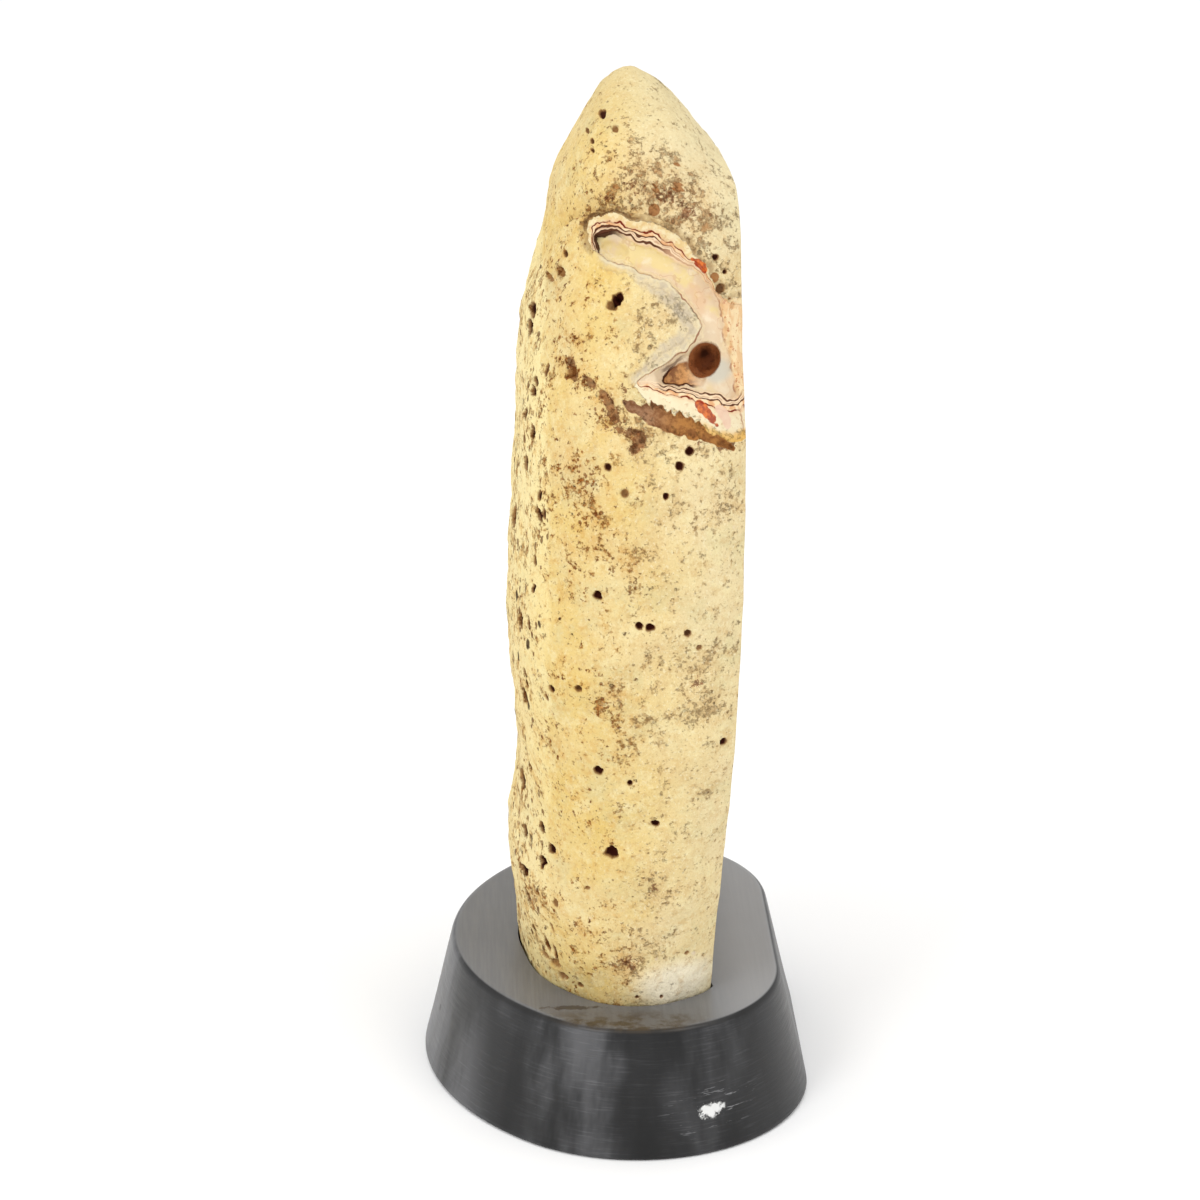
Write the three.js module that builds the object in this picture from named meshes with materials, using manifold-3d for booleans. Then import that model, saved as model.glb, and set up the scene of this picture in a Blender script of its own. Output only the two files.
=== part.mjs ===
// An agate geode: half of a tall pointed nodule, sawn flat on one side, standing in the socket of a
// stained wooden stand. Millimetres, +Z up. The origin is the middle of the stand's underside. The rough
// end with the agate hollow faces -Y, and the sawn face looks along +X, turned a few degrees towards +Y
// and leaning slightly outwards.
import * as THREE from "three";
import { mergeVertices } from "three/addons/utils/BufferGeometryUtils.js";
import Module from "manifold-3d";

const wasm = await Module();
wasm.setup();

// Driving dimensions of the stand: a D with its flat side at +X, tapered on every side.
const STAND_HEIGHT = 31;
const STAND_HALF_WIDTH = 40;
const STAND_HALF_LENGTH = 56.5;
const STAND_CORNER = 35;
const STAND_TAPER = 7.3;
const CORNER_SEGMENTS = 20;
const BOW_SEGMENTS = 44;

// The socket in the stand, and the round relief that was drilled for the stone's sharp corner.
const SOCKET_DEPTH = 9;
const SOCKET_GAP = 0.6;
const RESTING_GAP = 0.3;
const RELIEF_RADIUS = 1.7;

// The uncut nodule, as sections from its foot to its peak: height, left, right, front, back, and how
// square the section is, where 2 is an ellipse.
const STATIONS = [
  [22.3, -21.0, 31.0, -39.5, 34.0, 2.0],
  [31.0, -23.2, 32.0, -43.0, 39.0, 2.0],
  [56.0, -25.8, 34.0, -47.5, 46.0, 2.2],
  [80.0, -23.6, 36.0, -51.5, 50.0, 2.5],
  [98.0, -24.2, 37.0, -54.0, 52.5, 2.7],
  [122.0, -25.6, 38.0, -56.0, 54.0, 2.9],
  [150.0, -24.2, 38.0, -56.0, 53.0, 2.9],
  [175.0, -23.4, 37.5, -52.0, 49.0, 2.8],
  [195.0, -21.5, 36.5, -46.0, 43.0, 2.7],
  [212.0, -17.0, 35.0, -39.5, 36.5, 2.7],
  [224.0, -13.3, 32.0, -35.0, 30.0, 2.7],
  [232.0, -10.4, 24.4, -31.0, 23.5, 2.8],
  [240.0, -6.6, 15.4, -24.0, 15.0, 2.6],
  [246.0, -3.0, 10.2, -15.0, 8.0, 2.3],
  [249.4, 1.0, 6.4, -6.0, 1.5, 2.0],
  [250.3, 3.7, 3.9, -2.6, -2.4, 2.0],
];
const RING_STEP = 6;
const SEGMENTS = 48;
const ROW_TOLERANCE = 1e-6;
const MOST_ASIDE = 0.98;
const LEAST_RADIUS = 8;

// The saw cut: a plane through its lowest front corner.
const CUT_TURN = THREE.MathUtils.degToRad(8);
const CUT_LEAN = THREE.MathUtils.degToRad(1.6);
const CUT_CORNER = new THREE.Vector3(22.5, -37, 31);
const CUT_NORMAL = new THREE.Vector3(
  Math.cos(CUT_TURN) * Math.cos(CUT_LEAN),
  Math.sin(CUT_TURN) * Math.cos(CUT_LEAN),
  -Math.sin(CUT_LEAN),
);

// The agate channel in the rough end, seen along +Y: x and z of the outer edge of its rim, of the lip of
// its floor and of the knob of rock that it bends around, each from the upper tip of the C to the lower
// one.
const RIM = [
  [-6.9, 216], [-7, 220.5], [-4.4, 222.6], [-1, 223.6], [2.7, 222.4], [6.7, 222.2], [10.7, 220.3],
  [14.3, 218], [16.5, 214.8], [19.2, 212.3], [20.8, 208.8], [22.8, 205.4], [27, 204], [36, 199],
  [36, 180], [27, 175], [20, 177.3], [16.9, 180], [13.8, 181.7], [10.2, 182.7], [6.6, 184], [4.4, 186.2],
  [2.4, 187.7],
];
const LIP = [
  [-5, 214.8], [-5.4, 217.5], [-4, 218.7], [-1.8, 219.8], [1.1, 218.9], [4.4, 217.3], [7.7, 216.5],
  [10.6, 214.8], [14.7, 213], [17.8, 211], [19.6, 209], [21.6, 206.2], [24.5, 202.6], [27.5, 198.4],
  [28.5, 195], [28.8, 191.6], [28.6, 187.3], [26, 183.4], [20.9, 185.6], [17.5, 186.2], [14, 186.9],
  [11.1, 187.4], [9, 189],
];
const KNOB = [
  [-4.9, 214.6], [-1.9, 213.3], [1.6, 212.8], [4.3, 211.4], [7.6, 210.2], [11, 208.7], [14.1, 205.9],
  [16.3, 202.8], [17.9, 199.8], [16.9, 197.3], [14.4, 194.9], [11.6, 193.3], [9.6, 191.7], [8.9, 189.5],
];
const RIM_POINTS = 44;
const KNOB_POINTS = 22;
// The agate steps down from rim to lip in thin ledges: how far across, how deep, and how far the knob has
// spread.
const LEDGES = [
  { across: 0, depth: -2, spread: 0 },
  { across: 0, depth: 0.2, spread: 0 },
  { across: 0.3, depth: 0.3, spread: 0 },
  { across: 0.38, depth: 1, spread: 0.15 },
  { across: 0.62, depth: 1.3, spread: 0.25 },
  { across: 0.72, depth: 2.4, spread: 0.4 },
  { across: 0.94, depth: 2.8, spread: 0.6 },
  { across: 1.06, depth: 4.4, spread: 0.9 },
];
// Deeper hollows at both ends of the channel, and the brown crack below its lower rim.
const CHANNEL_END = [
  [-4.4, 215.4], [-4.6, 217.2], [-3, 218.4], [0, 218], [2.2, 216.6], [1, 214.2], [-2.4, 214.2],
];
const CHANNEL_FOOT = [
  [9.2, 189.4], [9.6, 187.9], [14, 187.4], [18.4, 187.2], [18, 190.4], [14.6, 192.6], [11, 191.8],
];
const CRACK = [
  [-0.6, 183.9], [3, 183], [4.6, 182], [6, 182.6], [7.5, 180.8], [9, 181.6], [11, 179.4], [12.4, 180.4],
  [14.6, 178.2], [16, 178.6], [18.6, 176], [21.5, 175.2], [26, 172.4], [19.6, 173.9], [15, 175.8],
  [9.4, 178.4], [4, 180.8], [0, 182],
];
const BAR_START = -90;
const BAR_END = -5;
const HOLLOW_POINTS = 14;
const END_DEPTH = 7;
const FOOT_DEPTH = 6;
const CRACK_DEPTH = 3;
const EYE = { x: 18.7, z: 192.7, radius: 3.8, depth: 5 };

// The cone above the channel steps back behind the rim and comes forward again higher up.
const SHOULDER = [
  [-20, 209], [-13, 217.5], [-10, 220.6], [-6.6, 222.6], [-1, 224], [5.6, 223.4], [10, 222],
  [15.6, 218.6], [20, 214],
];
const SHOULDER_SETBACK = 1.7;
const SHOULDER_HEIGHT = 15;
const SHOULDER_TOP = 240;
const SHOULDER_POINTS = 22;
const SHOULDER_FADE = { x: [4, 17], y: [-22, -8] };
const BARELY = 0.4;

// Round pits, as x, z and radius on the front, and y, z, half width and half height on the left flank.
const FRONT_PITS = [
  [-1.6, 205.2, 2.1], [-6, 140.1, 1.1], [3.6, 132.7, 1], [6, 132.5, 1.1], [-5.7, 95.7, 1.3],
  [-2.5, 73.9, 1.9], [7.7, 82, 1], [23.4, 102, 0.9], [15.1, 172.9, 1.2], [12.6, 169.7, 1.3],
  [-3.4, 169.7, 1], [0.2, 164, 1.2], [7.6, 224.7, 1.2], [13.1, 228.9, 1.2], [22.6, 206.6, 1.3],
  [-13.1, 209.2, 1.6], [-16.5, 114.7, 1], [-10.3, 116.9, 1], [14.7, 130.7, 1], [1.7, 92.8, 0.8],
  [9.6, 163.3, 0.8], [-12, 190.7, 1.3], [-5.4, 187.2, 1.5],
];
const FLANK_PITS = [
  [-12, 196, 2.4, 4], [-26, 182, 2, 2.6], [-14, 150, 2.2, 3], [-30, 127, 2.4, 2.4], [-29, 108, 1.8, 4],
  [-13, 80, 1.8, 4], [-22, 59, 1.8, 1.5], [-24, 51, 2.4, 2.4], [8, 168, 2.6, 3.4], [22, 120, 2.2, 2.6],
  [16, 88, 2.8, 3.2], [30, 150, 2, 3],
];
const PIT_SINK = 0.35;
const FRONT_PIT_DEPTH = 1.3;
const FLANK_PIT_DEPTH = 0.8;

// The natural hollow in the middle of the sawn face, as distances across and up the face from its middle,
// and how its walls step inwards.
const VOID_MIDDLE = { across: 3, up: 132 };
const VOID = [
  [0, -33], [4.5, -27], [6.5, -17], [9.5, -9], [8, 1], [10.5, 10], [7.5, 19], [5, 26], [1, 33],
  [-3.5, 28], [-4.5, 19], [-8.5, 12], [-6.5, 3], [-9.5, -6], [-6.5, -15], [-5, -26],
];
const VOID_POINTS = 40;
const VOID_STEPS = [
  { size: 0.3, depth: 13 },
  { size: 0.5, depth: 11.5 },
  { size: 0.62, depth: 8 },
  { size: 0.76, depth: 7 },
  { size: 0.84, depth: 3.4 },
  { size: 0.98, depth: 2.6 },
  { size: 1, depth: 0 },
  { size: 1, depth: -4 },
];

// Values between a list's rows, along a smooth curve through them. Row 1.5 is halfway from row 1 to row 2.
function between(rows, row) {
  const last = rows.length - 1;
  const i = Math.min(Math.floor(row), last - 1);
  const f = row - i;
  const here = rows[i];
  const next = rows[i + 1];
  return here.map((p, k) => {
    const q = next[k];
    const before = i > 0 ? rows[i - 1][k] : 2 * p - q;
    const after = i + 1 < last ? rows[i + 2][k] : 2 * q - p;
    const slope = (q - before) * f;
    const bend = (2 * before - 5 * p + 4 * q - after) * f * f;
    return 0.5 * (2 * p + slope + bend + (3 * p - before - 3 * q + after) * f * f * f);
  });
}

const smooth = (low, high, value) => THREE.MathUtils.smoothstep(value, low, high);

// The height of the shoulder line at x.
function shoulderAt(x) {
  const found = SHOULDER.findIndex((p) => p[0] > x);
  const i = found < 0 ? SHOULDER.length - 1 : Math.max(found, 1);
  const [a, b] = [SHOULDER[i - 1], SHOULDER[i]];
  return THREE.MathUtils.mapLinear(x, a[0], b[0], a[1], b[1]);
}

// Broad swells of the natural surface, outwards.
function swell(x, y, z) {
  return (
    0.5 * Math.sin(0.11 * x + 0.07 * z + 1) * Math.sin(0.09 * z - 0.05 * y + 0.4) +
    0.35 * Math.sin(0.23 * z + 0.17 * y + 2.1) * Math.sin(0.19 * x - 0.13 * z) +
    0.2 * Math.sin(0.41 * x + 0.37 * y + 0.3) * Math.sin(0.43 * z + 1.7)
  );
}

// One section: its middle, its half sizes and its squareness.
function sectionAt(row) {
  const [z, left, right, front, back, square] = between(STATIONS, row);
  return {
    z,
    square,
    x: (left + right) / 2,
    y: (front + back) / 2,
    halfX: (right - left) / 2,
    halfY: (back - front) / 2,
  };
}

// The row of STATIONS, with its fraction, at a height.
function rowAtHeight(z) {
  let low = 0;
  let high = STATIONS.length - 1;
  while (high - low > ROW_TOLERANCE) {
    const middle = (low + high) / 2;
    if (between(STATIONS, middle)[0] < z) {
      low = middle;
    } else {
      high = middle;
    }
  }
  return low;
}

// How far out a section reaches at right angles to a distance from its middle, both as parts of its half
// sizes.
function reachAt(part, square) {
  const clear = Math.min(Math.abs(part), MOST_ASIDE);
  return (1 - clear ** square) ** (1 / square);
}

// The y of the front of the nodule at x and z, and the x of its left flank at y and z.
function frontOf(x, z) {
  const s = sectionAt(rowAtHeight(z));
  return s.y - s.halfY * reachAt((x - s.x) / s.halfX, s.square);
}

function flankOf(y, z) {
  const s = sectionAt(rowAtHeight(z));
  return s.x - s.halfX * reachAt((y - s.y) / s.halfY, s.square);
}

function solidOf(geometry) {
  const bare = new THREE.BufferGeometry().setAttribute("position", geometry.getAttribute("position"));
  if (geometry.index) bare.setIndex(geometry.index);
  const merged = mergeVertices(bare, 1e-3);
  return new wasm.Manifold(
    new wasm.Mesh({
      numProp: 3,
      vertProperties: new Float32Array(merged.attributes.position.array),
      triVerts: new Uint32Array(merged.index.array),
    }),
  );
}

function geometryOf(solid) {
  const { vertProperties, triVerts } = solid.getMesh();
  const geometry = new THREE.BufferGeometry()
    .setAttribute("position", new THREE.BufferAttribute(vertProperties, 3))
    .setIndex(new THREE.BufferAttribute(triVerts, 1));
  geometry.computeVertexNormals();
  return geometry;
}

// A closed body through rings of points that all have the same count. Each ring runs anticlockwise as
// seen from where the stack is heading, and flat turns its points into the plane in which its end is
// closed.
function loft(rings, flat = (p) => new THREE.Vector2(p.x, p.y)) {
  const count = rings[0].length;
  const top = (rings.length - 1) * count;
  const index = [];
  const closed = (ring) => THREE.ShapeUtils.triangulateShape(ring.map(flat), []);
  closed(rings[0]).forEach(([a, b, c]) => index.push(c, b, a));
  closed(rings.at(-1)).forEach(([a, b, c]) => index.push(top + a, top + b, top + c));
  for (let i = 0; i < top; i += count) {
    for (let k = 0; k < count; k++) {
      const next = (k + 1) % count;
      const [a, b, c, d] = [i + k, i + next, i + count + next, i + count + k];
      index.push(a, b, c, a, c, d);
    }
  }
  return new THREE.BufferGeometry().setFromPoints(rings.flat()).setIndex(index);
}

// The uncut nodule, drawn in by an inset that may change from place to place.
function nodule(insetAt = () => 0) {
  const rows = [];
  for (let i = 0; i + 1 < STATIONS.length; i++) {
    const steps = Math.ceil((STATIONS[i + 1][0] - STATIONS[i][0]) / RING_STEP);
    for (let k = 0; k < steps; k++) {
      rows.push(i + k / steps);
    }
  }
  rows.push(STATIONS.length - 1);
  return solidOf(loft(rows.map((row) => noduleRing(row, insetAt))));
}

function noduleRing(row, insetAt) {
  const s = sectionAt(row);
  return Array.from({ length: SEGMENTS }, (_, k) => {
    const turn = (k / SEGMENTS) * 2 * Math.PI;
    const [c, n] = [Math.cos(turn), Math.sin(turn)];
    const reach = (Math.abs(c) ** s.square + Math.abs(n) ** s.square) ** (-1 / s.square);
    const x = s.x + s.halfX * reach * c;
    const y = s.y + s.halfY * reach * n;
    const radius = Math.max(Math.hypot(x - s.x, y - s.y), LEAST_RADIUS);
    const out = (swell(x, y, s.z) - insetAt(x, y, s.z)) / radius;
    return new THREE.Vector3(x + (x - s.x) * out, y + (y - s.y) * out, s.z);
  });
}

// A bar that runs along Y through a closed outline of x and z, from in front of the nodule to well inside it.
function bar(outline) {
  const shape = new THREE.Shape(outline.map(([x, z]) => new THREE.Vector2(x, z)));
  const geometry = new THREE.ExtrudeGeometry(shape, { depth: BAR_END - BAR_START, bevelEnabled: false });
  return solidOf(geometry.rotateX(Math.PI / 2).translate(0, BAR_END, 0));
}

function curveThrough(points, closed = false) {
  const path = points.map(([x, z]) => new THREE.Vector3(x, z, 0));
  return new THREE.CatmullRomCurve3(path, closed, "centripetal");
}

const plain = (points) => points.map((p) => [p.x, p.y]);
const rounded = (points, count) => plain(curveThrough(points, true).getSpacedPoints(count).slice(1));
const eased = (points, count) => plain(curveThrough(points).getSpacedPoints(count));

// Rock within an outline, from the surface down to a depth that may change from place to place.
function carving(outline, depthAt) {
  return bar(outline).subtract(nodule(depthAt));
}

function shoulder() {
  const outline = [...eased(SHOULDER, SHOULDER_POINTS), [20, SHOULDER_TOP], [-20, SHOULDER_TOP]];
  return carving(outline, (x, y, z) => {
    const above = smooth(0, 1, (z - shoulderAt(x)) / SHOULDER_HEIGHT);
    const aside = Math.max(smooth(...SHOULDER_FADE.x, x), smooth(...SHOULDER_FADE.y, y));
    return SHOULDER_SETBACK * (1 - above) * (1 - aside) - BARELY;
  });
}

// The knob's edge, moved outwards into the channel by a distance.
function knobEdge(spread) {
  const edge = eased(KNOB, KNOB_POINTS);
  return edge.map(([x, z], i) => {
    const [a, b] = [edge[Math.max(i - 1, 0)], edge[Math.min(i + 1, edge.length - 1)]];
    const length = Math.hypot(b[0] - a[0], b[1] - a[1]);
    return [x - (spread * (b[1] - a[1])) / length, z + (spread * (b[0] - a[0])) / length];
  });
}

function channel() {
  const rim = plain(curveThrough(RIM).getPoints(RIM_POINTS));
  const lip = plain(curveThrough(LIP).getPoints(RIM_POINTS));
  const rings = LEDGES.map(({ across, depth, spread }) => {
    const edge = rim.map(([x, z], i) => [
      THREE.MathUtils.lerp(x, lip[i][0], across),
      THREE.MathUtils.lerp(z, lip[i][1], across),
    ]);
    const ring = [...knobEdge(spread), ...edge.reverse()];
    return ring.map(([x, z]) => new THREE.Vector3(x, frontOf(x, z) + depth, z));
  });
  return solidOf(loft(rings.reverse(), (p) => new THREE.Vector2(p.x, p.z)));
}

function eye() {
  const ball = new THREE.IcosahedronGeometry(EYE.radius, 2).scale(1, 1.5, 1);
  return solidOf(ball.translate(EYE.x, frontOf(EYE.x, EYE.z) + EYE.depth, EYE.z));
}

function hollows() {
  return [
    carving(rounded(CHANNEL_END, HOLLOW_POINTS), () => END_DEPTH),
    carving(rounded(CHANNEL_FOOT, HOLLOW_POINTS), () => FOOT_DEPTH),
    carving(CRACK, () => CRACK_DEPTH),
    eye(),
  ];
}

function pit(x, y, z, halfSizes) {
  return solidOf(new THREE.OctahedronGeometry(1, 1).scale(...halfSizes).translate(x, y, z));
}

function pits() {
  const front = FRONT_PITS.map(([x, z, r]) => {
    return pit(x, frontOf(x, z) + PIT_SINK * r, z, [r, FRONT_PIT_DEPTH * r, r]);
  });
  const flank = FLANK_PITS.map(([y, z, half, tall]) => {
    return pit(flankOf(y, z), y, z, [FLANK_PIT_DEPTH * half, half, tall]);
  });
  return [...front, ...flank];
}

// The hollow in the sawn face, stepping down square to the face.
function faceHollow() {
  const across = new THREE.Vector3(-Math.sin(CUT_TURN), Math.cos(CUT_TURN), 0);
  const up = new THREE.Vector3().crossVectors(CUT_NORMAL, across);
  const middle = CUT_CORNER.clone()
    .addScaledVector(across, VOID_MIDDLE.across - CUT_CORNER.y)
    .addScaledVector(up, VOID_MIDDLE.up - CUT_CORNER.z);
  const outline = rounded(VOID, VOID_POINTS);
  const rings = VOID_STEPS.map(({ size, depth }) => {
    return outline.map(([a, b]) => new THREE.Vector3(a * size, b * size, -depth));
  });
  const place = new THREE.Matrix4().makeBasis(across, up, CUT_NORMAL).setPosition(middle);
  return solidOf(loft(rings).applyMatrix4(place));
}

// Keeps what lies behind the saw cut, moved outwards by a gap.
function sawn(solid, gap = 0) {
  const n = CUT_NORMAL.clone().negate();
  return solid.trimByPlane([n.x, n.y, n.z], n.dot(CUT_CORNER) - gap);
}

function stoneSolid() {
  const cuts = [shoulder(), channel(), ...hollows(), ...pits(), faceHollow()];
  const stone = cuts.reduce((rock, cut) => rock.subtract(cut), sawn(nodule()));
  return stone.decompose().sort((a, b) => b.volume() - a.volume())[0];
}

// The stand's D outline at a height, grown outwards by an offset.
function standRing(offset, z) {
  const cornerX = STAND_HALF_WIDTH - STAND_CORNER;
  const cornerY = STAND_HALF_LENGTH - STAND_CORNER;
  const bowX = cornerY ** 2 / (4 * cornerX);
  const bow = bowX + STAND_HALF_WIDTH;
  const meet = Math.atan2(cornerY, cornerX - bowX);
  const arc = (x, y, radius, from, to, count) => {
    const reach = radius + offset;
    return Array.from({ length: count }, (_, k) => {
      const turn = from + ((to - from) * k) / count;
      return new THREE.Vector3(x + reach * Math.cos(turn), y + reach * Math.sin(turn), z);
    });
  };
  return [
    ...arc(cornerX, cornerY, STAND_CORNER, 0, meet, CORNER_SEGMENTS),
    ...arc(bowX, 0, bow, meet, 2 * Math.PI - meet, BOW_SEGMENTS),
    ...arc(cornerX, -cornerY, STAND_CORNER, 2 * Math.PI - meet, 2 * Math.PI, CORNER_SEGMENTS),
    new THREE.Vector3(STAND_HALF_WIDTH + offset, -cornerY, z),
  ];
}

// The outline's offset at each height: a broken lower edge, the tapered side and a rounded upper edge.
const STAND_PROFILE = [
  { z: 0, offset: STAND_TAPER - 0.8 },
  { z: 0.9, offset: STAND_TAPER },
  { z: STAND_HEIGHT - 1.3, offset: 0.35 },
  { z: STAND_HEIGHT - 0.5, offset: -0.1 },
  { z: STAND_HEIGHT, offset: -0.9 },
];

function standSolid() {
  const rings = STAND_PROFILE.map(({ z, offset }) => standRing(offset, z));
  const socket = sawn(nodule(() => -SOCKET_GAP), SOCKET_GAP).translate([0, 0, -RESTING_GAP]);
  const relief = new THREE.CylinderGeometry(RELIEF_RADIUS, RELIEF_RADIUS, 2 * SOCKET_DEPTH, 16);
  relief.rotateX(Math.PI / 2).translate(CUT_CORNER.x + 0.7, CUT_CORNER.y + 0.4, STAND_HEIGHT);
  return solidOf(loft(rings)).subtract(socket).subtract(solidOf(relief));
}

function mesh(name, solid, finish) {
  const material = new THREE.MeshStandardMaterial({ flatShading: true, ...finish });
  const made = new THREE.Mesh(geometryOf(solid), material);
  made.name = name;
  return made;
}

const geode = new THREE.Group();
geode.add(
  mesh("stone", stoneSolid(), { color: 0xe6cd98, roughness: 0.85, metalness: 0 }),
  mesh("stand", standSolid(), { color: 0x2c2c2e, roughness: 0.4, metalness: 0 }),
);

export default geode;
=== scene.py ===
import math
import random
from functools import partialmethod

import bmesh
import bpy
import numpy as np
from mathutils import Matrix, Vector, noise


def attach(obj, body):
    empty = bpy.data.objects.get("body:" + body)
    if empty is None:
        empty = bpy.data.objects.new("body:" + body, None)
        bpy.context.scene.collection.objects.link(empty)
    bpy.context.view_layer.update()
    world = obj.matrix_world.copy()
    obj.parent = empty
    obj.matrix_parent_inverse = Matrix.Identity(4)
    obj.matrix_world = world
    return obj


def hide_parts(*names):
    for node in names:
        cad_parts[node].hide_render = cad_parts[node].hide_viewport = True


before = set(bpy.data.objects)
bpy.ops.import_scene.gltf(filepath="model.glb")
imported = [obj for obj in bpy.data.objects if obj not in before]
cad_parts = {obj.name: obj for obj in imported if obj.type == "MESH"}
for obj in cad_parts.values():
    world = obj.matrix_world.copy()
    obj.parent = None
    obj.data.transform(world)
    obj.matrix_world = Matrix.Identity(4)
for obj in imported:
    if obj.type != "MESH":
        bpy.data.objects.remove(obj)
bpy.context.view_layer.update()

# An agate geode on its wooden stand, seen as in a studio. Places and sizes are written in millimetres, with
# +Z up and the origin under the middle of the stand, and reach the meshes through MM.
MM = 0.001
CREASE = math.radians(48)

# The stand: a D with its flat side at +X, tapered on every side, with a socket for the stone's foot.
STAND_HEIGHT = 31
STAND_HALF_WIDTH = 40
STAND_HALF_LENGTH = 56.5
STAND_CORNER = 35
STAND_TAPER = 7.3
SOCKET_GAP = 0.6
SOCKET_FLOOR = 22
# Its side as height and offset from the outline, from the underside to the top.
STAND_PROFILE = [
    (0, STAND_TAPER - 0.9), (0.25, STAND_TAPER - 0.35), (0.8, STAND_TAPER), (1.6, STAND_TAPER - 0.15),
    (8, 5.5), (16, 3.6), (24, 1.75), (29.2, 0.5), (29.9, 0.25), (30.4, -0.05), (30.8, -0.5),
    (STAND_HEIGHT, -1.1), (STAND_HEIGHT, -1.7),
]
PINHOLE = (-43.4, -8.8, 14.5)
CHIP = (21, -58, 10.3)
STREAK = (-11.5, -43.8, 31)

# The uncut nodule as sections from foot to peak: height, left, right, front, back and squareness.
STATIONS = np.array([
    [22.3, -21, 31, -39.5, 34, 2],
    [31, -23.2, 32, -43, 39, 2],
    [56, -25.8, 34, -47.5, 46, 2.2],
    [80, -23.6, 36, -51.5, 50, 2.5],
    [98, -24.2, 37, -54, 52.5, 2.7],
    [122, -25.6, 38, -56, 54, 2.9],
    [150, -23.8, 38, -56, 53, 2.9],
    [175, -22.5, 37.5, -52, 49, 2.8],
    [195, -20.8, 36.5, -46, 43, 2.7],
    [212, -15.9, 35, -39.5, 36.5, 2.7],
    [224, -14.1, 33.5, -35, 30, 2.7],
    [232, -10.8, 23.2, -31, 23.5, 2.8],
    [240, -6.8, 16.9, -24, 15, 2.6],
    [246, -3.2, 11.2, -15, 8, 2.3],
    [249.4, 1, 6.4, -6, 1.5, 2],
    [250.3, 3.7, 3.9, -2.6, -2.4, 2],
])
AROUND = 236
UPWARDS = 226
# The part of the points that closes the foot, and half width, half depth and squareness where it is widest.
FOOT_SHARE = 0.05
WIDEST = (32, 55, 2.7)
LEAST_RADIUS = 8
# Heights over which the broad swells fade, and steps of the lines that rings and points are spread along.
CALM_ABOVE = (218, 232)
FINE_ROWS = 600
FINE_TURNS = 1441

# The saw cut: a plane through its lowest front corner.
CUT_TURN = math.radians(8)
CUT_LEAN = math.radians(1.6)
CUT_CORNER = np.array([22.9, -37, 31])
CUT_NORMAL = np.array([
    math.cos(CUT_TURN) * math.cos(CUT_LEAN),
    math.sin(CUT_TURN) * math.cos(CUT_LEAN),
    -math.sin(CUT_LEAN),
])
CUT_ACROSS = np.array([-math.sin(CUT_TURN), math.cos(CUT_TURN), 0])
CUT_UP = np.cross(CUT_NORMAL, CUT_ACROSS)

# The agate channel in the rough end as x and z: the outer edge of its rim, the lip of its floor and the
# knob of rock that it bends around, each from the upper tip of the C to the lower one.
RIM = [
    (-6.9, 216), (-7, 220.5), (-4.4, 222.6), (-1, 223.6), (2.7, 222.4), (6.7, 222.2), (10.7, 220.3),
    (14.3, 218), (16.5, 214.8), (19.2, 212.3), (20.8, 208.8), (22.8, 205.4), (27, 204), (36, 199),
    (36, 178), (27, 174.6), (23.9, 174.9), (21, 175.9), (18.7, 177.2), (16.7, 178.7), (14.7, 180.2),
    (12, 181.4), (8.8, 182.3), (6.1, 183.5), (4.1, 185.6), (2.4, 187.7),
]
LIP = [
    (-5, 214.8), (-5.4, 217.5), (-4, 218.7), (-1.8, 219.8), (1.1, 218.9), (4.4, 217.3), (7.7, 216.5),
    (10.6, 214.8), (14.7, 213), (17.8, 211), (19.6, 209), (21.6, 206.2), (24.5, 202.6), (27.5, 198.4),
    (28.5, 195), (28.8, 191.6), (28.6, 187.3), (26, 183.4), (20.9, 185.6), (17.5, 186.2), (14, 186.9),
    (11.1, 187.4), (8.7, 188.1), (6, 188.3), (3.5, 188.3),
]
KNOB = [
    (-4.9, 214.6), (-1.9, 213.3), (1.6, 212.8), (4.3, 211.4), (7.6, 210.2), (11, 208.7), (14.1, 205.9),
    (16.3, 202.8), (17.9, 199.8), (16.9, 197.3), (14.4, 194.9), (11.4, 193.3),
    (9, 191.8), (6, 190.2), (3.3, 188.5),
]
CHANNEL_END = [(-4.4, 215.4), (-4.6, 217.2), (-3, 218.4), (0, 218), (2.2, 216.6), (1, 214.2), (-2.4, 214.2)]
CHANNEL_FOOT = [
    (9.2, 189.4), (9.6, 187.9), (14, 187.4), (18.4, 187.2), (18, 190.4), (14.6, 192.6), (11, 191.8),
]
CRACK = [
    (0.4, 184), (2.6, 183.7), (4, 182.9), (5.2, 183.9), (6.2, 183.2), (7, 184.4), (8, 182.6), (9, 183.1),
    (9.8, 181.6), (10.8, 182.4), (11.6, 181), (12.8, 182), (13.8, 180.3), (14.8, 180.9), (16, 178.9),
    (17.2, 179.2), (19.2, 176.9), (22, 175.6), (25.6, 172.8), (25.4, 172.2), (20.1, 174.5), (17.4, 175.7),
    (12.8, 176.8), (9.7, 177.6), (7, 178.7), (3.9, 180.5), (1.4, 182),
]
EYE = (18.7, 192.7, 3.8)
SHOULDER = [
    (-20, 209), (-13, 217.5), (-10, 220.6), (-6.6, 222.6), (-1, 224), (5.6, 223.4), (10, 222), (15.6, 218.6),
    (20, 214),
]
CHANNEL_REGION = (-11, 31, 169, 227)
CHANNEL_FRONT = -22
# The channel is carved along the line of sight of someone who looks down at it a little.
INTO_ROCK = np.array([0.038, 0.939, -0.342])
# The lower arm of the C: its height, the run over which it grows shallow, and what depth is left.
ARM_HEIGHT = 193
ARM_RUN = (7, 9.5)
ARM_DEPTH = 0.15

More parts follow.
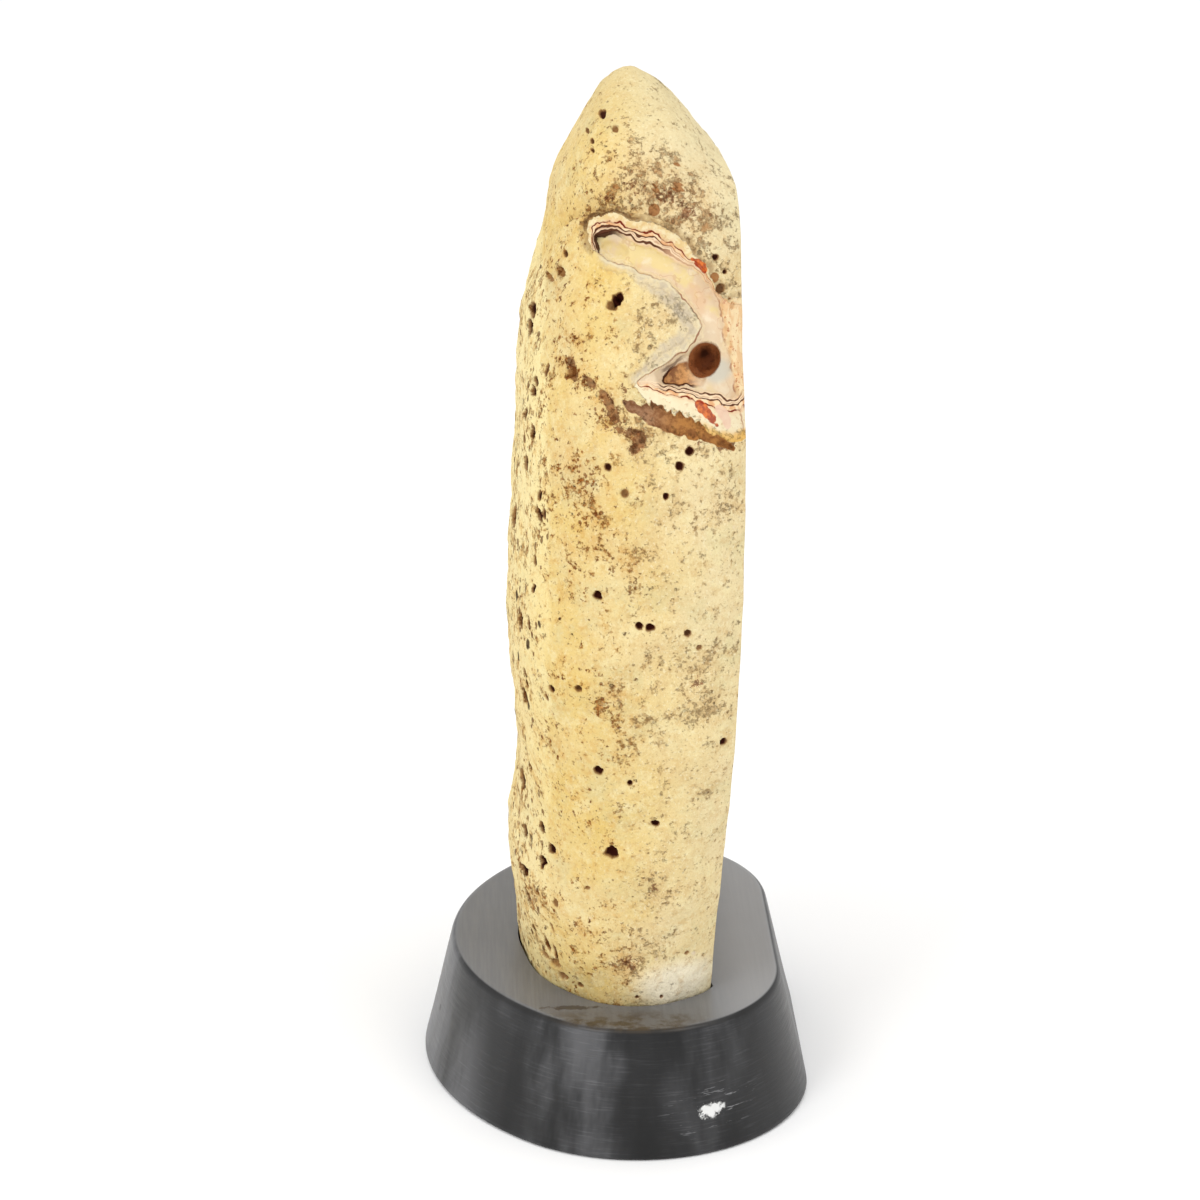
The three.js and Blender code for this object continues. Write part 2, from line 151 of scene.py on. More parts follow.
# Ledges between rim and lip: how far across, and how deep in millimetres.
LEDGE_ACROSS = [-1, 0, 0.2, 0.42, 0.48, 0.64, 0.7, 0.86, 0.92, 0.98, 1.04]
LEDGE_DEPTH = [0, 0, -0.15, -0.05, 0.4, 0.5, 1, 1.1, 1.7, 1.9, 3.3]
END_DEPTH = 1.3
FOOT_DEPTH = 1.7
EYE_DEPTH = 5
CRACK_DEPTH = 1
CRACK_SPREAD = 0.3
SHOULDER_SETBACK = 1.7
PIT_DEPTH = 1.3
DEEPEST_PIT = 1.6
RUST_DEPTH = 0.4
MUD_DEPTH = 0.7

# Middles of coloured places: the white foot, the cool end of the channel's floor, the dark of the eye.
WHITE_FOOT = (14, -44, 36)
COOL_END = (22, -44, 188.8)
EYE_CORE = (19.1, -44, 191.9)

# Pits and marks lie on the front or on the left flank, which are these sides of the nodule.
MARK_FRONT = -5
PIT_FRONT = -8
PIT_FLANK = -6
FAR = 99.0
# Smaller pits are scattered over the flank.
SCATTERED = 46
# Edges are halved twice within these distances of the channel and of each pit.
REFINED = [(0.5, 1.4), (0, 0.7)]

# Pits on the front, as x, z, radius and how dark, and on the left flank as y, z, half width, half height.
FRONT_PITS = [
    (-1.1, 205.4, 1.3, 1), (-0.4, 206, 1.2, 1), (-2.2, 204.4, 1.1, 0.6), (-1.5, 203.9, 0.8, 0.5),
    (-6, 140.1, 1.1, 1), (3.6, 132.7, 1, 0.9), (6, 132.5, 1.1, 0.9),
    (-5.7, 95.7, 1.3, 0.9), (-2.5, 73.9, 1.9, 0.9), (7.7, 82, 1, 1), (23.4, 102, 0.9, 0.9),
    (15.1, 172.9, 1.1, 0.85), (12.6, 169.7, 1.1, 0.9), (-3.4, 169.7, 1, 0.8), (0.2, 164, 1.2, 0.5),
    (9.6, 163.3, 0.8, 1), (14.7, 130.7, 1, 0.7), (1.7, 92.8, 0.8, 0.9), (-16.5, 114.7, 1, 0.9),
    (-10.3, 116.9, 1, 0.7), (-13.4, 208.9, 1.3, 0.5), (-15.8, 206.6, 0.9, 0.45), (-12, 218.8, 0.6, 0.8),
    (-12.2, 213, 0.7, 0.7), (-3.3, 242.5, 0.9, 0.8), (21.5, 214, 0.8, 0.8), (23.6, 210.5, 0.6, 0.8),
    (22.6, 207.2, 1.3, 0.6), (24.7, 204.4, 0.7, 0.6), (25.4, 203, 0.9, 0.6), (17.4, 127, 0.8, 0.5),
    (-0.6, 240.4, 0.8, 0.5), (-6.8, 238.5, 0.5, 0.6), (-5.7, 237.2, 0.5, 0.7), (-5.8, 235.6, 0.5, 0.7),
    (-15.3, 37.4, 1.6, 0.45), (-13.4, 34.6, 1.3, 0.5), (-17.6, 37.8, 1.2, 0.5), (-9.5, 34, 0.8, 0.6),
    (4, 33.5, 0.6, 0.7), (10, 33, 0.5, 0.7), (16.1, 44, 0.7, 0.5), (-8, 63, 0.7, 0.5),
]
FLANK_PITS = [
    (-19, 193.2, 3, 2), (-20, 197.6, 2.6, 2.2), (-30.6, 183.6, 2, 1.1), (-30, 181, 2.4, 1.3),
    (-27.7, 175, 1.8, 1.4), (-34.1, 172.5, 1.6, 1.8), (-30, 164, 1.8, 2.4), (-19.5, 147.6, 3.4, 3),
    (-40.4, 154.6, 1.4, 2), (-40.8, 159.6, 1.1, 1.5), (-34.6, 126.6, 2.6, 2), (-33.6, 107.4, 2.6, 2),
    (-35.1, 113.8, 1.5, 1.4), (-20, 80.6, 3, 3), (-24, 68.8, 2.4, 1.5), (-34.3, 74.2, 1.6, 1.7),
    (-25, 59, 2.6, 1.5), (-26, 52.1, 2.4, 1.5), (-34.6, 65.7, 1.8, 1.4), (-40.6, 143.8, 1.2, 1.5),
    (-41, 137, 1, 1.1), (-40.5, 128, 1.1, 1.8), (-38, 70, 1.4, 1.4), (-30, 88, 1.6, 1),
    (8, 168, 1.8, 2.6), (22, 120, 1.6, 2), (16, 88, 2, 2.4), (30, 150, 1.6, 2.2),
]
# Round brown fillings, as x, z and radius.
RUST_SPOTS = [
    (13.1, 228.9, 1.2), (7.6, 224.7, 1.4), (7.9, 229, 0.9), (13.1, 233.4, 0.7), (21.2, 209.6, 1.1),
]
# Dirty and rusty patches, as x, z, radius and strength.
STAINS = [
    (6.8, 227.6, 6, 0.8), (15.7, 223.3, 5, 0.8), (-2.2, 225.1, 5, 0.72), (11, 227, 6, 0.8),
    (3, 230, 6, 0.72), (-6, 222.5, 4, 0.64), (20, 221, 5, 0.64), (24, 214, 5, 0.56), (-12, 221, 4, 0.4),
    (18, 230, 5, 0.4),
    (8, 234, 6, 0.4), (25, 207, 4, 0.48), (3.8, 175.8, 4, 0.72), (-4, 182, 4, 0.72), (17.6, 122.8, 4, 0.8),
    (17.7, 113.9, 4.5, 0.8), (7.9, 63.7, 4.5, 0.8), (1.1, 42.6, 5, 0.8), (3.7, 148.8, 5, 0.64),
    (-5.3, 157.7, 4, 0.64), (-5.3, 152, 4, 0.64), (-3, 114.5, 5, 0.64), (-18.8, 54.2, 4, 0.64),
    (-11.2, 196, 2.4, 0.8), (-11, 190, 2.6, 0.8), (-9, 166, 5, 0.56), (9, 160, 5, 0.56),
    (3, 108, 5, 0.48), (12, 205, 3.5, 0.56), (8, 201, 4, 0.56), (4, 197, 3, 0.48), (-14, 206, 3, 0.4),
    (22, 160, 5, 0.48), (8, 124, 5, 0.56), (14, 140, 5, 0.4), (20, 90, 5, 0.4), (10, 96, 4, 0.4),
    (-13, 170, 5, 0.48), (-12, 140, 4, 0.4), (-16, 100, 4, 0.4), (6, 52, 5, 0.48), (-8, 50, 4, 0.4),
]
# Brown earth in hollows, as x, z, radius and strength.
MUD = [
    (-11.5, 193.1, 1, 0.5), (-11.3, 191.2, 1.2, 0.6), (-11.1, 189.3, 1.3, 0.7), (-10.9, 187.8, 1, 0.5),
    (-7.8, 188.1, 1, 0.9), (-6.8, 187.2, 1.1, 1), (-4.6, 185.5, 1.2, 1), (-3.3, 183.9, 1.4, 1),
    (-2.4, 181.8, 1.3, 1), (-1.7, 180.2, 1.1, 0.8), (-3.8, 178.2, 1.3, 0.7), (-1.1, 178, 1.2, 0.7),
    (1.1, 177.5, 1.3, 0.8), (3.8, 176.6, 1.6, 1), (3.5, 174.8, 1.6, 1), (2.4, 173.4, 1.3, 0.8),
    (17.4, 175, 1.2, 0.5), (22.4, 173.7, 1.5, 0.9), (24.8, 173, 1.2, 0.8), (0.5, 186.5, 1.2, 0.6),
    (17, 118, 2.2, 0.6), (7.9, 64, 2.2, 0.6), (2, 43, 2.4, 0.7), (11, 227.5, 2.2, 0.7), (15, 224, 2, 0.8),
    (3, 229, 2, 0.6), (-3, 226.5, 1.6, 0.6),
]
# Orange lenses of agate, as x, z, radius and strength.
EMBERS = [
    (17, 183.4, 1, 0.7), (17.9, 182.4, 1.3, 0.8), (19.2, 181, 1.2, 0.8), (20.4, 179.6, 1, 0.7),
    (21.4, 178.2, 0.7, 0.6), (16, 214, 0.5, 0.6), (17.2, 213.3, 0.8, 0.8), (18.3, 212.5, 0.9, 0.9),
    (19, 211.4, 0.7, 0.8),
]
# Pinkish lenses beside them.
LENSES = [(21.6, 182, 1.1, 0.7), (22.8, 180.6, 1.3, 0.8), (23.6, 178.8, 1.2, 0.8), (23.8, 177.4, 0.8, 0.5)]

# The natural hollow in the sawn face, as distances across and up the face from its middle.
VOID_ACROSS = 3
VOID_UP = 132
VOID = [
    (0, -33), (4.5, -27), (6.5, -17), (9.5, -9), (8, 1), (10.5, 10), (7.5, 19), (5, 26), (1, 33),
    (-3.5, 28), (-4.5, 19), (-8.5, 12), (-6.5, 3), (-9.5, -6), (-6.5, -15), (-5, -26),
]
# The hollow's walls, as its size and depth at each step inwards.
VOID_STEPS = [(1, 0.01), (0.97, 2.4), (0.84, 3.4), (0.76, 6.8), (0.62, 8), (0.5, 11), (0.3, 12.6)]

# The camera: what it looks at, how far it is turned and raised, and its distance.
AIM = Vector((-3.1, 0, 118.9)) * MM
CAMERA_TURN = math.radians(-2.3)
CAMERA_RISE = math.radians(20)
CAMERA_DISTANCE = 900 * MM
SENSOR = 36
LENS = 3.09 * SENSOR

# Soft lights, in metres and watts: place, width and height, power. All shine at LIT_PLACE.
LIGHTS = {
    "key_light": ((-1.0, -1.2, 1.4), (0.6, 0.6), 9),
    "fill_light": ((1.0, -1.0, 1.7), (0.8, 0.8), 7),
    "strip_light": ((-1.6, -0.8, 0.5), (0.25, 0.9), 2),
    "overhead_light": ((0, 0.4, 4), (5, 5), 36),
}
LIT_PLACE = Vector((0, 0, 0.12))
SKY_STRENGTH = 0.84
FLOOR_SIZE = 9000
FLOOR_COLOUR = (0.97, 0.97, 0.97, 1)
FLOOR_ROUGHNESS = 0.9


def smooth(low, high, value):
    """0 at low and 1 at high, with a smooth rise between. low may be above high."""
    part = np.clip((value - low) / (high - low), 0, 1)
    return part * part * (3 - 2 * part)


def cubic(before, here, after, beyond, f):
    """A place at a fraction f of the way from here to after, on a smooth curve through all four."""
    bend = (2 * before - 5 * here + 4 * after - beyond) * f * f
    twist = (3 * here - before - 3 * after + beyond) * f * f * f
    return 0.5 * (2 * here + (after - before) * f + bend + twist)


def curve_through(points, steps=6, closed=False):
    """Points along a smooth curve through the given ones."""
    points = np.array(points, float)
    if closed:
        points = np.vstack([points[-1], points, points[:2]])
    else:
        points = np.vstack([2 * points[0] - points[1], points, 2 * points[-1] - points[-2]])
    made = []
    for before, here, after, beyond in zip(points, points[1:], points[2:], points[3:]):
        made += [cubic(before, here, after, beyond, f) for f in np.arange(steps) / steps]
    if not closed:
        made.append(points[-2])
    return np.array(made)


def distance_to(line, x, z, closed=False):
    """How far each point of x and z is from a line of points."""
    ends = np.vstack([line, line[:1]]) if closed else line
    best = np.full(x.shape, 1e9)
    for (ax, az), (bx, bz) in zip(ends, ends[1:]):
        dx, dz = bx - ax, bz - az
        along = np.clip(((x - ax) * dx + (z - az) * dz) / max(dx * dx + dz * dz, 1e-9), 0, 1)
        best = np.minimum(best, (x - ax - along * dx) ** 2 + (z - az - along * dz) ** 2)
    return np.sqrt(best)


def inside(line, x, z):
    """Which points of x and z lie inside a closed line."""
    found = np.zeros(x.shape, bool)
    for (ax, az), (bx, bz) in zip(line, np.roll(line, -1, axis=0)):
        if az != bz:
            found ^= ((az > z) != (bz > z)) & (x < (bx - ax) * (z - az) / (bz - az) + ax)
    return found


def station_at(row):
    """Sections between STATIONS, for an array of rows with fractions."""
    last = len(STATIONS) - 1
    i = np.clip(np.floor(row).astype(int), 0, last - 1)
    f = (row - i)[:, None]
    here, after = STATIONS[i], STATIONS[i + 1]
    before = np.where((i > 0)[:, None], STATIONS[np.maximum(i - 1, 0)], 2 * here - after)
    beyond = np.where((i + 1 < last)[:, None], STATIONS[np.minimum(i + 2, last)], 2 * after - here)
    return cubic(before, here, after, beyond, f)


def swell(x, y, z):
    """Broad swells of the natural surface, outwards."""
    return (
        0.5 * np.sin(0.11 * x + 0.07 * z + 1) * np.sin(0.09 * z - 0.05 * y + 0.4)
        + 0.35 * np.sin(0.23 * z + 0.17 * y + 2.1) * np.sin(0.19 * x - 0.13 * z)
        + 0.2 * np.sin(0.41 * x + 0.37 * y + 0.3) * np.sin(0.43 * z + 1.7)
    )


def lumps(points, size, seed=0.0):
    """Noise between -1 and 1 at each point, with features of a size in millimetres."""
    shift = Vector((seed, 1.7 * seed, -seed))
    return np.array([noise.noise(Vector(p) / size + shift) for p in points])


def walk(first, second):
    """How far along a line of points each of them is."""
    return np.concatenate([[0], np.cumsum(np.hypot(np.diff(first), np.diff(second)))])


def rounded(cos, sin, square):
    """Distance from the middle of a rounded square, of half width 1, to its edge."""
    return (np.abs(cos) ** square + np.abs(sin) ** square) ** (-1 / square)


def nodule(grow=0.0):
    """The uncut nodule as a bmesh in millimetres, grown outwards by a distance."""
    bm = bmesh.new()
    bmesh.ops.create_uvsphere(bm, u_segments=AROUND, v_segments=UPWARDS, radius=1)
    unit = np.array([v.co for v in bm.verts])
    # Rings are spread evenly along the front, and points evenly around the widest section.
    rows = np.linspace(0, len(STATIONS) - 1, FINE_ROWS)
    heights, _, _, fronts, *_ = station_at(rows).T
    run = walk(heights, fronts)
    share = 1 - np.arccos(np.clip(unit[:, 2], -1, 1)) / math.pi
    above = np.clip((share - FOOT_SHARE) / (1 - FOOT_SHARE), 0, 1)
    z, left, right, front, back, square = station_at(np.interp(above * run[-1], run, rows)).T
    turns = np.linspace(-math.pi, math.pi, FINE_TURNS)
    cos, sin = np.cos(turns), np.sin(turns)
    wide, deep, widest_square = WIDEST
    reach = rounded(cos, sin, widest_square)
    walked = walk(wide * reach * cos, deep * reach * sin)
    turn_share = (np.arctan2(unit[:, 1], unit[:, 0]) + math.pi) / (2 * math.pi)
    turn = np.interp(turn_share * walked[-1], walked, turns)
    cos, sin = np.cos(turn), np.sin(turn)
    reach = rounded(cos, sin, square)
    middle_x, middle_y = (left + right) / 2, (front + back) / 2
    out_x, out_y = (right - left) / 2 * reach * cos, (back - front) / 2 * reach * sin
    pole = (share < 1e-6) | (share > 1 - 1e-6)
    shrink = np.where(pole, 0, np.clip(share / FOOT_SHARE, 0, 1))
    radius = np.maximum(np.hypot(out_x, out_y), LEAST_RADIUS)
    swelling = swell(middle_x + out_x, middle_y + out_y, z) * (1 - 0.6 * smooth(*CALM_ABOVE, z))
    stretch = (1 + (swelling + grow) / radius) * shrink
    places = np.stack([middle_x + out_x * stretch, middle_y + out_y * stretch, z], 1)
    for vert, place in zip(bm.verts, places):
        vert.co = place
    return bm


def channel_places(places, margin=0.0):
    """Which places lie within a margin of the channel."""
    low_x, high_x, low_z, high_z = CHANNEL_REGION
    x, y, z = places.T
    across = (x > low_x - margin) & (x < high_x + margin)
    return across & (z > low_z - margin) & (z < high_z + margin) & (y < CHANNEL_FRONT)


def all_pits():
    """Every pit: on the front or not, x or y, z, half width, half height, darkness."""
    chance = random.Random(7)
    pits = [(True, x, z, r, r, dark) for x, z, r, dark in FRONT_PITS]
    pits += [(False, y, z, wide, tall, 1) for y, z, wide, tall in FLANK_PITS]
    for _ in range(SCATTERED):
        wide = chance.uniform(0.5, 1.1)
        place = (chance.uniform(-46, 44), chance.uniform(38, 214))
        pits.append((False, *place, wide, wide * chance.uniform(1, 2.6), chance.uniform(0.4, 1)))
    return pits


def pit_distance(pit, places, margin=0.0):
    """Distance from a pit's middle in parts of its radius, on the side that it lies on."""
    x, y, z = places.T
    front, middle, height, wide, tall, _ = pit
    side, here = (x, y < PIT_FRONT) if front else (y, x < PIT_FLANK)
    away = np.hypot((side - middle) / (wide + margin), (z - height) / (tall + margin))
    return np.where(here, away, FAR)


def refine(bm, pits, channel_margin, pit_margin):
    """Halves the edges whose two ends are both near the channel or a pit."""
    places = np.array([v.co for v in bm.verts])
    chosen = channel_places(places, channel_margin)
    for pit in pits:
        chosen |= pit_distance(pit, places, pit_margin) < 1
    bm.verts.index_update()
    edges = [e for e in bm.edges if chosen[e.verts[0].index] and chosen[e.verts[1].index]]
    bmesh.ops.subdivide_edges(bm, edges=edges, cuts=1, use_grid_fill=True)


def channel_shape(x, z, wander, scallop):
    """Depth of the channel in millimetres, and the values that its colours follow."""
    rim, lip, knob = (curve_through(line) for line in (RIM, LIP, KNOB))
    end, foot = (curve_through(line, closed=True) for line in (CHANNEL_END, CHANNEL_FOOT))
    eye_x, eye_z, eye_radius = EYE
    eye = np.hypot(x - eye_x, z - eye_z) / eye_radius
    x, z = x + wander[0], z + wander[1]
    in_whole = inside(np.vstack([rim, knob[::-1]]), x, z)
    in_floor = inside(np.vstack([lip, knob[::-1]]), x, z)
    to_rim, to_lip, to_knob = (distance_to(line, x, z) for line in (rim, lip, knob))
    between = to_rim / np.maximum(to_rim + to_lip, 1e-6)
    between += (0.75 - 0.5 * smooth(192, 186, z)) * scallop * between * (1 - between)
    # Along the lower arm the bands crowd towards the lip.
    between = np.clip(between, 0, 1) ** (1 + smooth(194, 188, z))
    ledge = np.where(in_floor, 1 + to_lip / 8, np.where(in_whole, between, -to_rim / 4))
    depth = np.interp(ledge, LEDGE_ACROSS, LEDGE_DEPTH)
    depth = np.where(in_whole, depth * smooth(0, 0.8, to_knob), 0)
    # The lower arm runs out into a shallow wedge.
    depth *= np.where(z < ARM_HEIGHT, ARM_DEPTH + (1 - ARM_DEPTH) * smooth(*ARM_RUN, x), 1)
    in_end, in_foot = (inside(line, x, z) * distance_to(line, x, z, True) for line in (end, foot))
    depth += END_DEPTH * smooth(0, 1.4, in_end) + FOOT_DEPTH * smooth(0, 0.9, in_foot)
    # Towards the sawn edge the floor stands proud.
    proud = smooth(22.2, 24.4, x + (z - 200) * 0.2) * smooth(207, 203, z) * in_whole
    depth = depth * (1 - 0.8 * proud)
    depth += EYE_DEPTH * np.sqrt(np.clip(1 - eye ** 2, 0, 1))
    crack = np.array(CRACK, float)
    tooth_x, tooth_z = x + 0.5 * wander[0], z + 0.9 * wander[2]
    from_crack = distance_to(crack, tooth_x, tooth_z, True)
    in_crack = np.where(inside(crack, tooth_x, tooth_z), from_crack, -from_crack) + CRACK_SPREAD
    depth += CRACK_DEPTH * smooth(0, 0.8, in_crack)
    return depth, {
        "ledge": ledge,
        "knob": np.where(in_whole, -to_knob, to_knob),
        "crack": smooth(0, 0.5, in_crack),
        "pocket": smooth(0, 0.8, in_foot),
        "eye": smooth(1.08, 0.9, eye) * (0.55 + 0.45 * smooth(0.9, 0.2, eye)),
    }


def above_shoulder(x, z):
    return z - np.interp(x, *np.array(SHOULDER).T)


def shoulder_setback(x, y, z):
    """How far the worn cone lies back above the channel's shoulder."""
    above = above_shoulder(x, z)
    fade = 1 - smooth(0, 15, above)
    aside = np.maximum(smooth(4, 17, x), smooth(-22, -8, y))
    return SHOULDER_SETBACK * smooth(0, 0.5, above) * fade * (1 - aside)


def spots(places, marks):
    """How strongly a list of round marks on the front colours each place."""
    x, y, z = places.T
    total = np.zeros(len(places))
    for mark_x, mark_z, radius, strength in marks:
        away = np.hypot(x - mark_x, z - mark_z) / radius
        total += strength * np.exp(-(away ** 2))
    return np.where(y < MARK_FRONT, np.minimum(total, 1), 0)


def cusps(points, size):
    """Scallops between -1 and 1, with creases where they meet."""
    return np.array([noise.voronoi(Vector(p) / size)[0][0] for p in points]) * 2 - 0.8


def carve(bm, pits):
    """Carves channel, shoulder and pits into the nodule, and stores what the colours follow."""
    bm.normal_update()
    places = np.array([v.co for v in bm.verts])
    normals = np.array([v.normal for v in bm.verts])
    x, y, z = places.T
    values = {name: np.zeros(len(places)) for name in ("crack", "pocket", "eye", "pit", "rust")}
    values["ledge"] = np.full(len(places), -9.0)
    values["knob"] = np.full(len(places), FAR)
    for name, marks in {"stain": STAINS, "mud": MUD, "ember": EMBERS, "lens": LENSES}.items():
        values[name] = spots(places, marks)
    values["cone"] = smooth(-0.6, 0.6, above_shoulder(x, z))
    near = channel_places(places)
    close = places[near]
    wander = [0.5 * lumps(close, 2.6, seed) + 0.3 * lumps(close, 1.1, seed) for seed in (5, 9, 14)]
    depth, found = channel_shape(x[near], z[near], wander, cusps(close, 2.4))
    # From here on x, y and z are those of the carved places.
    places[near] += depth[:, None] * INTO_ROCK
    for name, value in found.items():
        values[name][near] = value
    inwards = shoulder_setback(x, y, z) * (values["ledge"] < 0)
    fine = lumps(places, 1.9, 6)
    rugged = 1 + 0.8 * smooth(-13, -18, x)
    grain = 0.28 * lumps(places, 9) + (0.2 * lumps(places, 4, 3) + 0.13 * fine) * rugged
    calm = (values["ledge"] > 0) & (values["knob"] < 0)
    inwards += grain * np.where(calm, 0.35, 1)
    ragged = 1.1 + 0.3 * fine + 0.3 * lumps(places, 0.9, 21)
    for pit in pits:
        _, _, _, wide, _, dark = pit
        away = pit_distance(pit, places) * ragged
        hollow = np.sqrt(np.clip(1 - away ** 2, 0, 1))
        inwards += PIT_DEPTH * min(wide, DEEPEST_PIT) * hollow * (0.5 + 0.5 * dark)
        values["pit"] = np.maximum(values["pit"], dark * smooth(1.2, 0.7, away))
    for spot_x, spot_z, radius in RUST_SPOTS:
        away = pit_distance((True, spot_x, spot_z, radius, radius, 1), places)
        inwards += RUST_DEPTH * smooth(1.05, 0.8, away)
        values["rust"] = np.maximum(values["rust"], smooth(1.1, 0.85, away))
    inwards += MUD_DEPTH * smooth(0.3, 0.8, values["mud"])
    places -= inwards[:, None] * normals
    layers = {name: bm.verts.layers.float.new(name) for name in values}
    for i, vert in enumerate(bm.verts):
        vert.co = places[i]
        for name, layer in layers.items():
            vert[layer] = values[name][i]


def edges_in(geometry):
    return [g for g in geometry if isinstance(g, bmesh.types.BMEdge)]


def cut_off(bm, place, normal, near):
    """Cuts away what lies beyond a plane. Returns the edges around the cut."""
    everything = bm.verts[:] + bm.edges[:] + bm.faces[:]
    cut = bmesh.ops.bisect_plane(
        bm, geom=everything, dist=near, plane_co=place, plane_no=normal, clear_outer=True
    )
    return edges_in(cut["geom_cut"])


def saw(bm, gap=0.0):
    """Cuts the nodule flat, a gap beyond its sawn face."""
    return cut_off(bm, CUT_CORNER + CUT_NORMAL * gap, CUT_NORMAL, 1e-5)


def ring_of(bm, places):
    """A closed ring of edges through places."""
    made = bmesh.ops.create_circle(bm, cap_ends=False, segments=len(places), radius=1)["verts"]
    for vert, place in zip(made, places):
        vert.co = place
    return list({e for v in made for e in v.link_edges})


def next_ring(bm, ring):
    """Extrudes walls from a ring of edges. Returns the new ring and its vertices."""
    made = bmesh.ops.extrude_edge_only(bm, edges=ring)["geom"]
    ring = [e for e in edges_in(made) if e.is_boundary]
    return ring, {v for e in ring for v in e.verts}


def face_place(across, up, depth=0.0):
    """A point on the sawn face, or below it."""
    middle = CUT_CORNER + CUT_ACROSS * (VOID_ACROSS - CUT_CORNER[1]) + CUT_UP * (VOID_UP - CUT_CORNER[2])
    return Vector(middle + CUT_ACROSS * across + CUT_UP * up - CUT_NORMAL * depth)


def hollow_face(bm, rim):
    """Closes the sawn face around its hollow, and sinks the hollow's walls and bottom."""
    ring = ring_of(bm, [face_place(*place) for place in curve_through(VOID, 7, closed=True)])
    bmesh.ops.triangle_fill(bm, use_beauty=False, edges=rim + ring, normal=Vector(CUT_NORMAL))
    layer = bm.verts.layers.float.new("hollow")
    size_above = 1
    for size, depth in VOID_STEPS:
        ring, verts = next_ring(bm, ring)
        for vert in verts:
            flat = (vert.co - face_place(0, 0)) * (size / size_above)
            vert.co = face_place(flat.dot(Vector(CUT_ACROSS)), flat.dot(Vector(CUT_UP)), depth)
            vert[layer] = size
        size_above = size
    bmesh.ops.edgeloop_fill(bm, edges=ring)


def shade(bm):
    """Shades a bmesh smoothly, apart from its sharp creases."""
    bmesh.ops.recalc_face_normals(bm, faces=bm.faces)
    for face in bm.faces:
        face.smooth = True
    for edge in bm.edges:
        edge.smooth = edge.calc_face_angle(0) < CREASE


def add_object(name, data):
    made = bpy.data.objects.new(name, data)
    bpy.context.scene.collection.objects.link(made)
    return made


def add_mesh(name, bm):
    """Finishes a bmesh that is in millimetres as an object in metres."""
    shade(bm)
    bmesh.ops.scale(bm, vec=(MM, MM, MM), verts=bm.verts)
    data = bpy.data.meshes.new(name)
    bm.to_mesh(data)
    bm.free()
    return add_object(name, data)


def make_stone():
    bm = nodule()
    pits = all_pits()
    for channel_margin, pit_margin in REFINED:
        refine(bm, pits, channel_margin, pit_margin)
    carve(bm, pits)
    hollow_face(bm, saw(bm))
    return add_mesh("agate_stone", bm)


class Socket:
    """One output of a node, so that looks are written as sums and products."""

    def __init__(self, look, socket):
        self.look = look
        self.socket = socket

    def math(self, operation, *others):
        return self.look.node("ShaderNodeMath", {"operation": operation}, dict(enumerate((self, *others))))

    __add__ = __radd__ = partialmethod(math, "ADD")
    __mul__ = __rmul__ = partialmethod(math, "MULTIPLY")
    __sub__ = partialmethod(math, "SUBTRACT")
    __truediv__ = partialmethod(math, "DIVIDE")
    __pow__ = partialmethod(math, "POWER")
    most = partialmethod(math, "MAXIMUM")

    def __rsub__(self, other):
        return self.look.node("ShaderNodeMath", {"operation": "SUBTRACT"}, {0: other, 1: self})

    def clamp(self):
        return self.look.node("ShaderNodeClamp", sockets={0: self})

    def step(self, low, high):
        """0 below low and 1 above high, smoothly. low may be above high."""
        ends = {1: low, 2: high, 3: 0.0, 4: 1.0}
        if low > high:
            ends = {1: high, 2: low, 3: 1.0, 4: 0.0}
        settings = {"interpolation_type": "SMOOTHSTEP"}
        return self.look.node("ShaderNodeMapRange", settings, {0: self, **ends})

    def band(self, middle, half, soft, extra=0.0):
        """1 within half of middle, falling to 0 over soft. extra widens it from place to place."""
        away = (self - middle).math("ABSOLUTE") - extra
        return away.step(half + soft, half)

    def coat(self, part, colour):
        """This colour with another one laid over it, as far as part says."""
        return self.look.mix(part, self, colour)


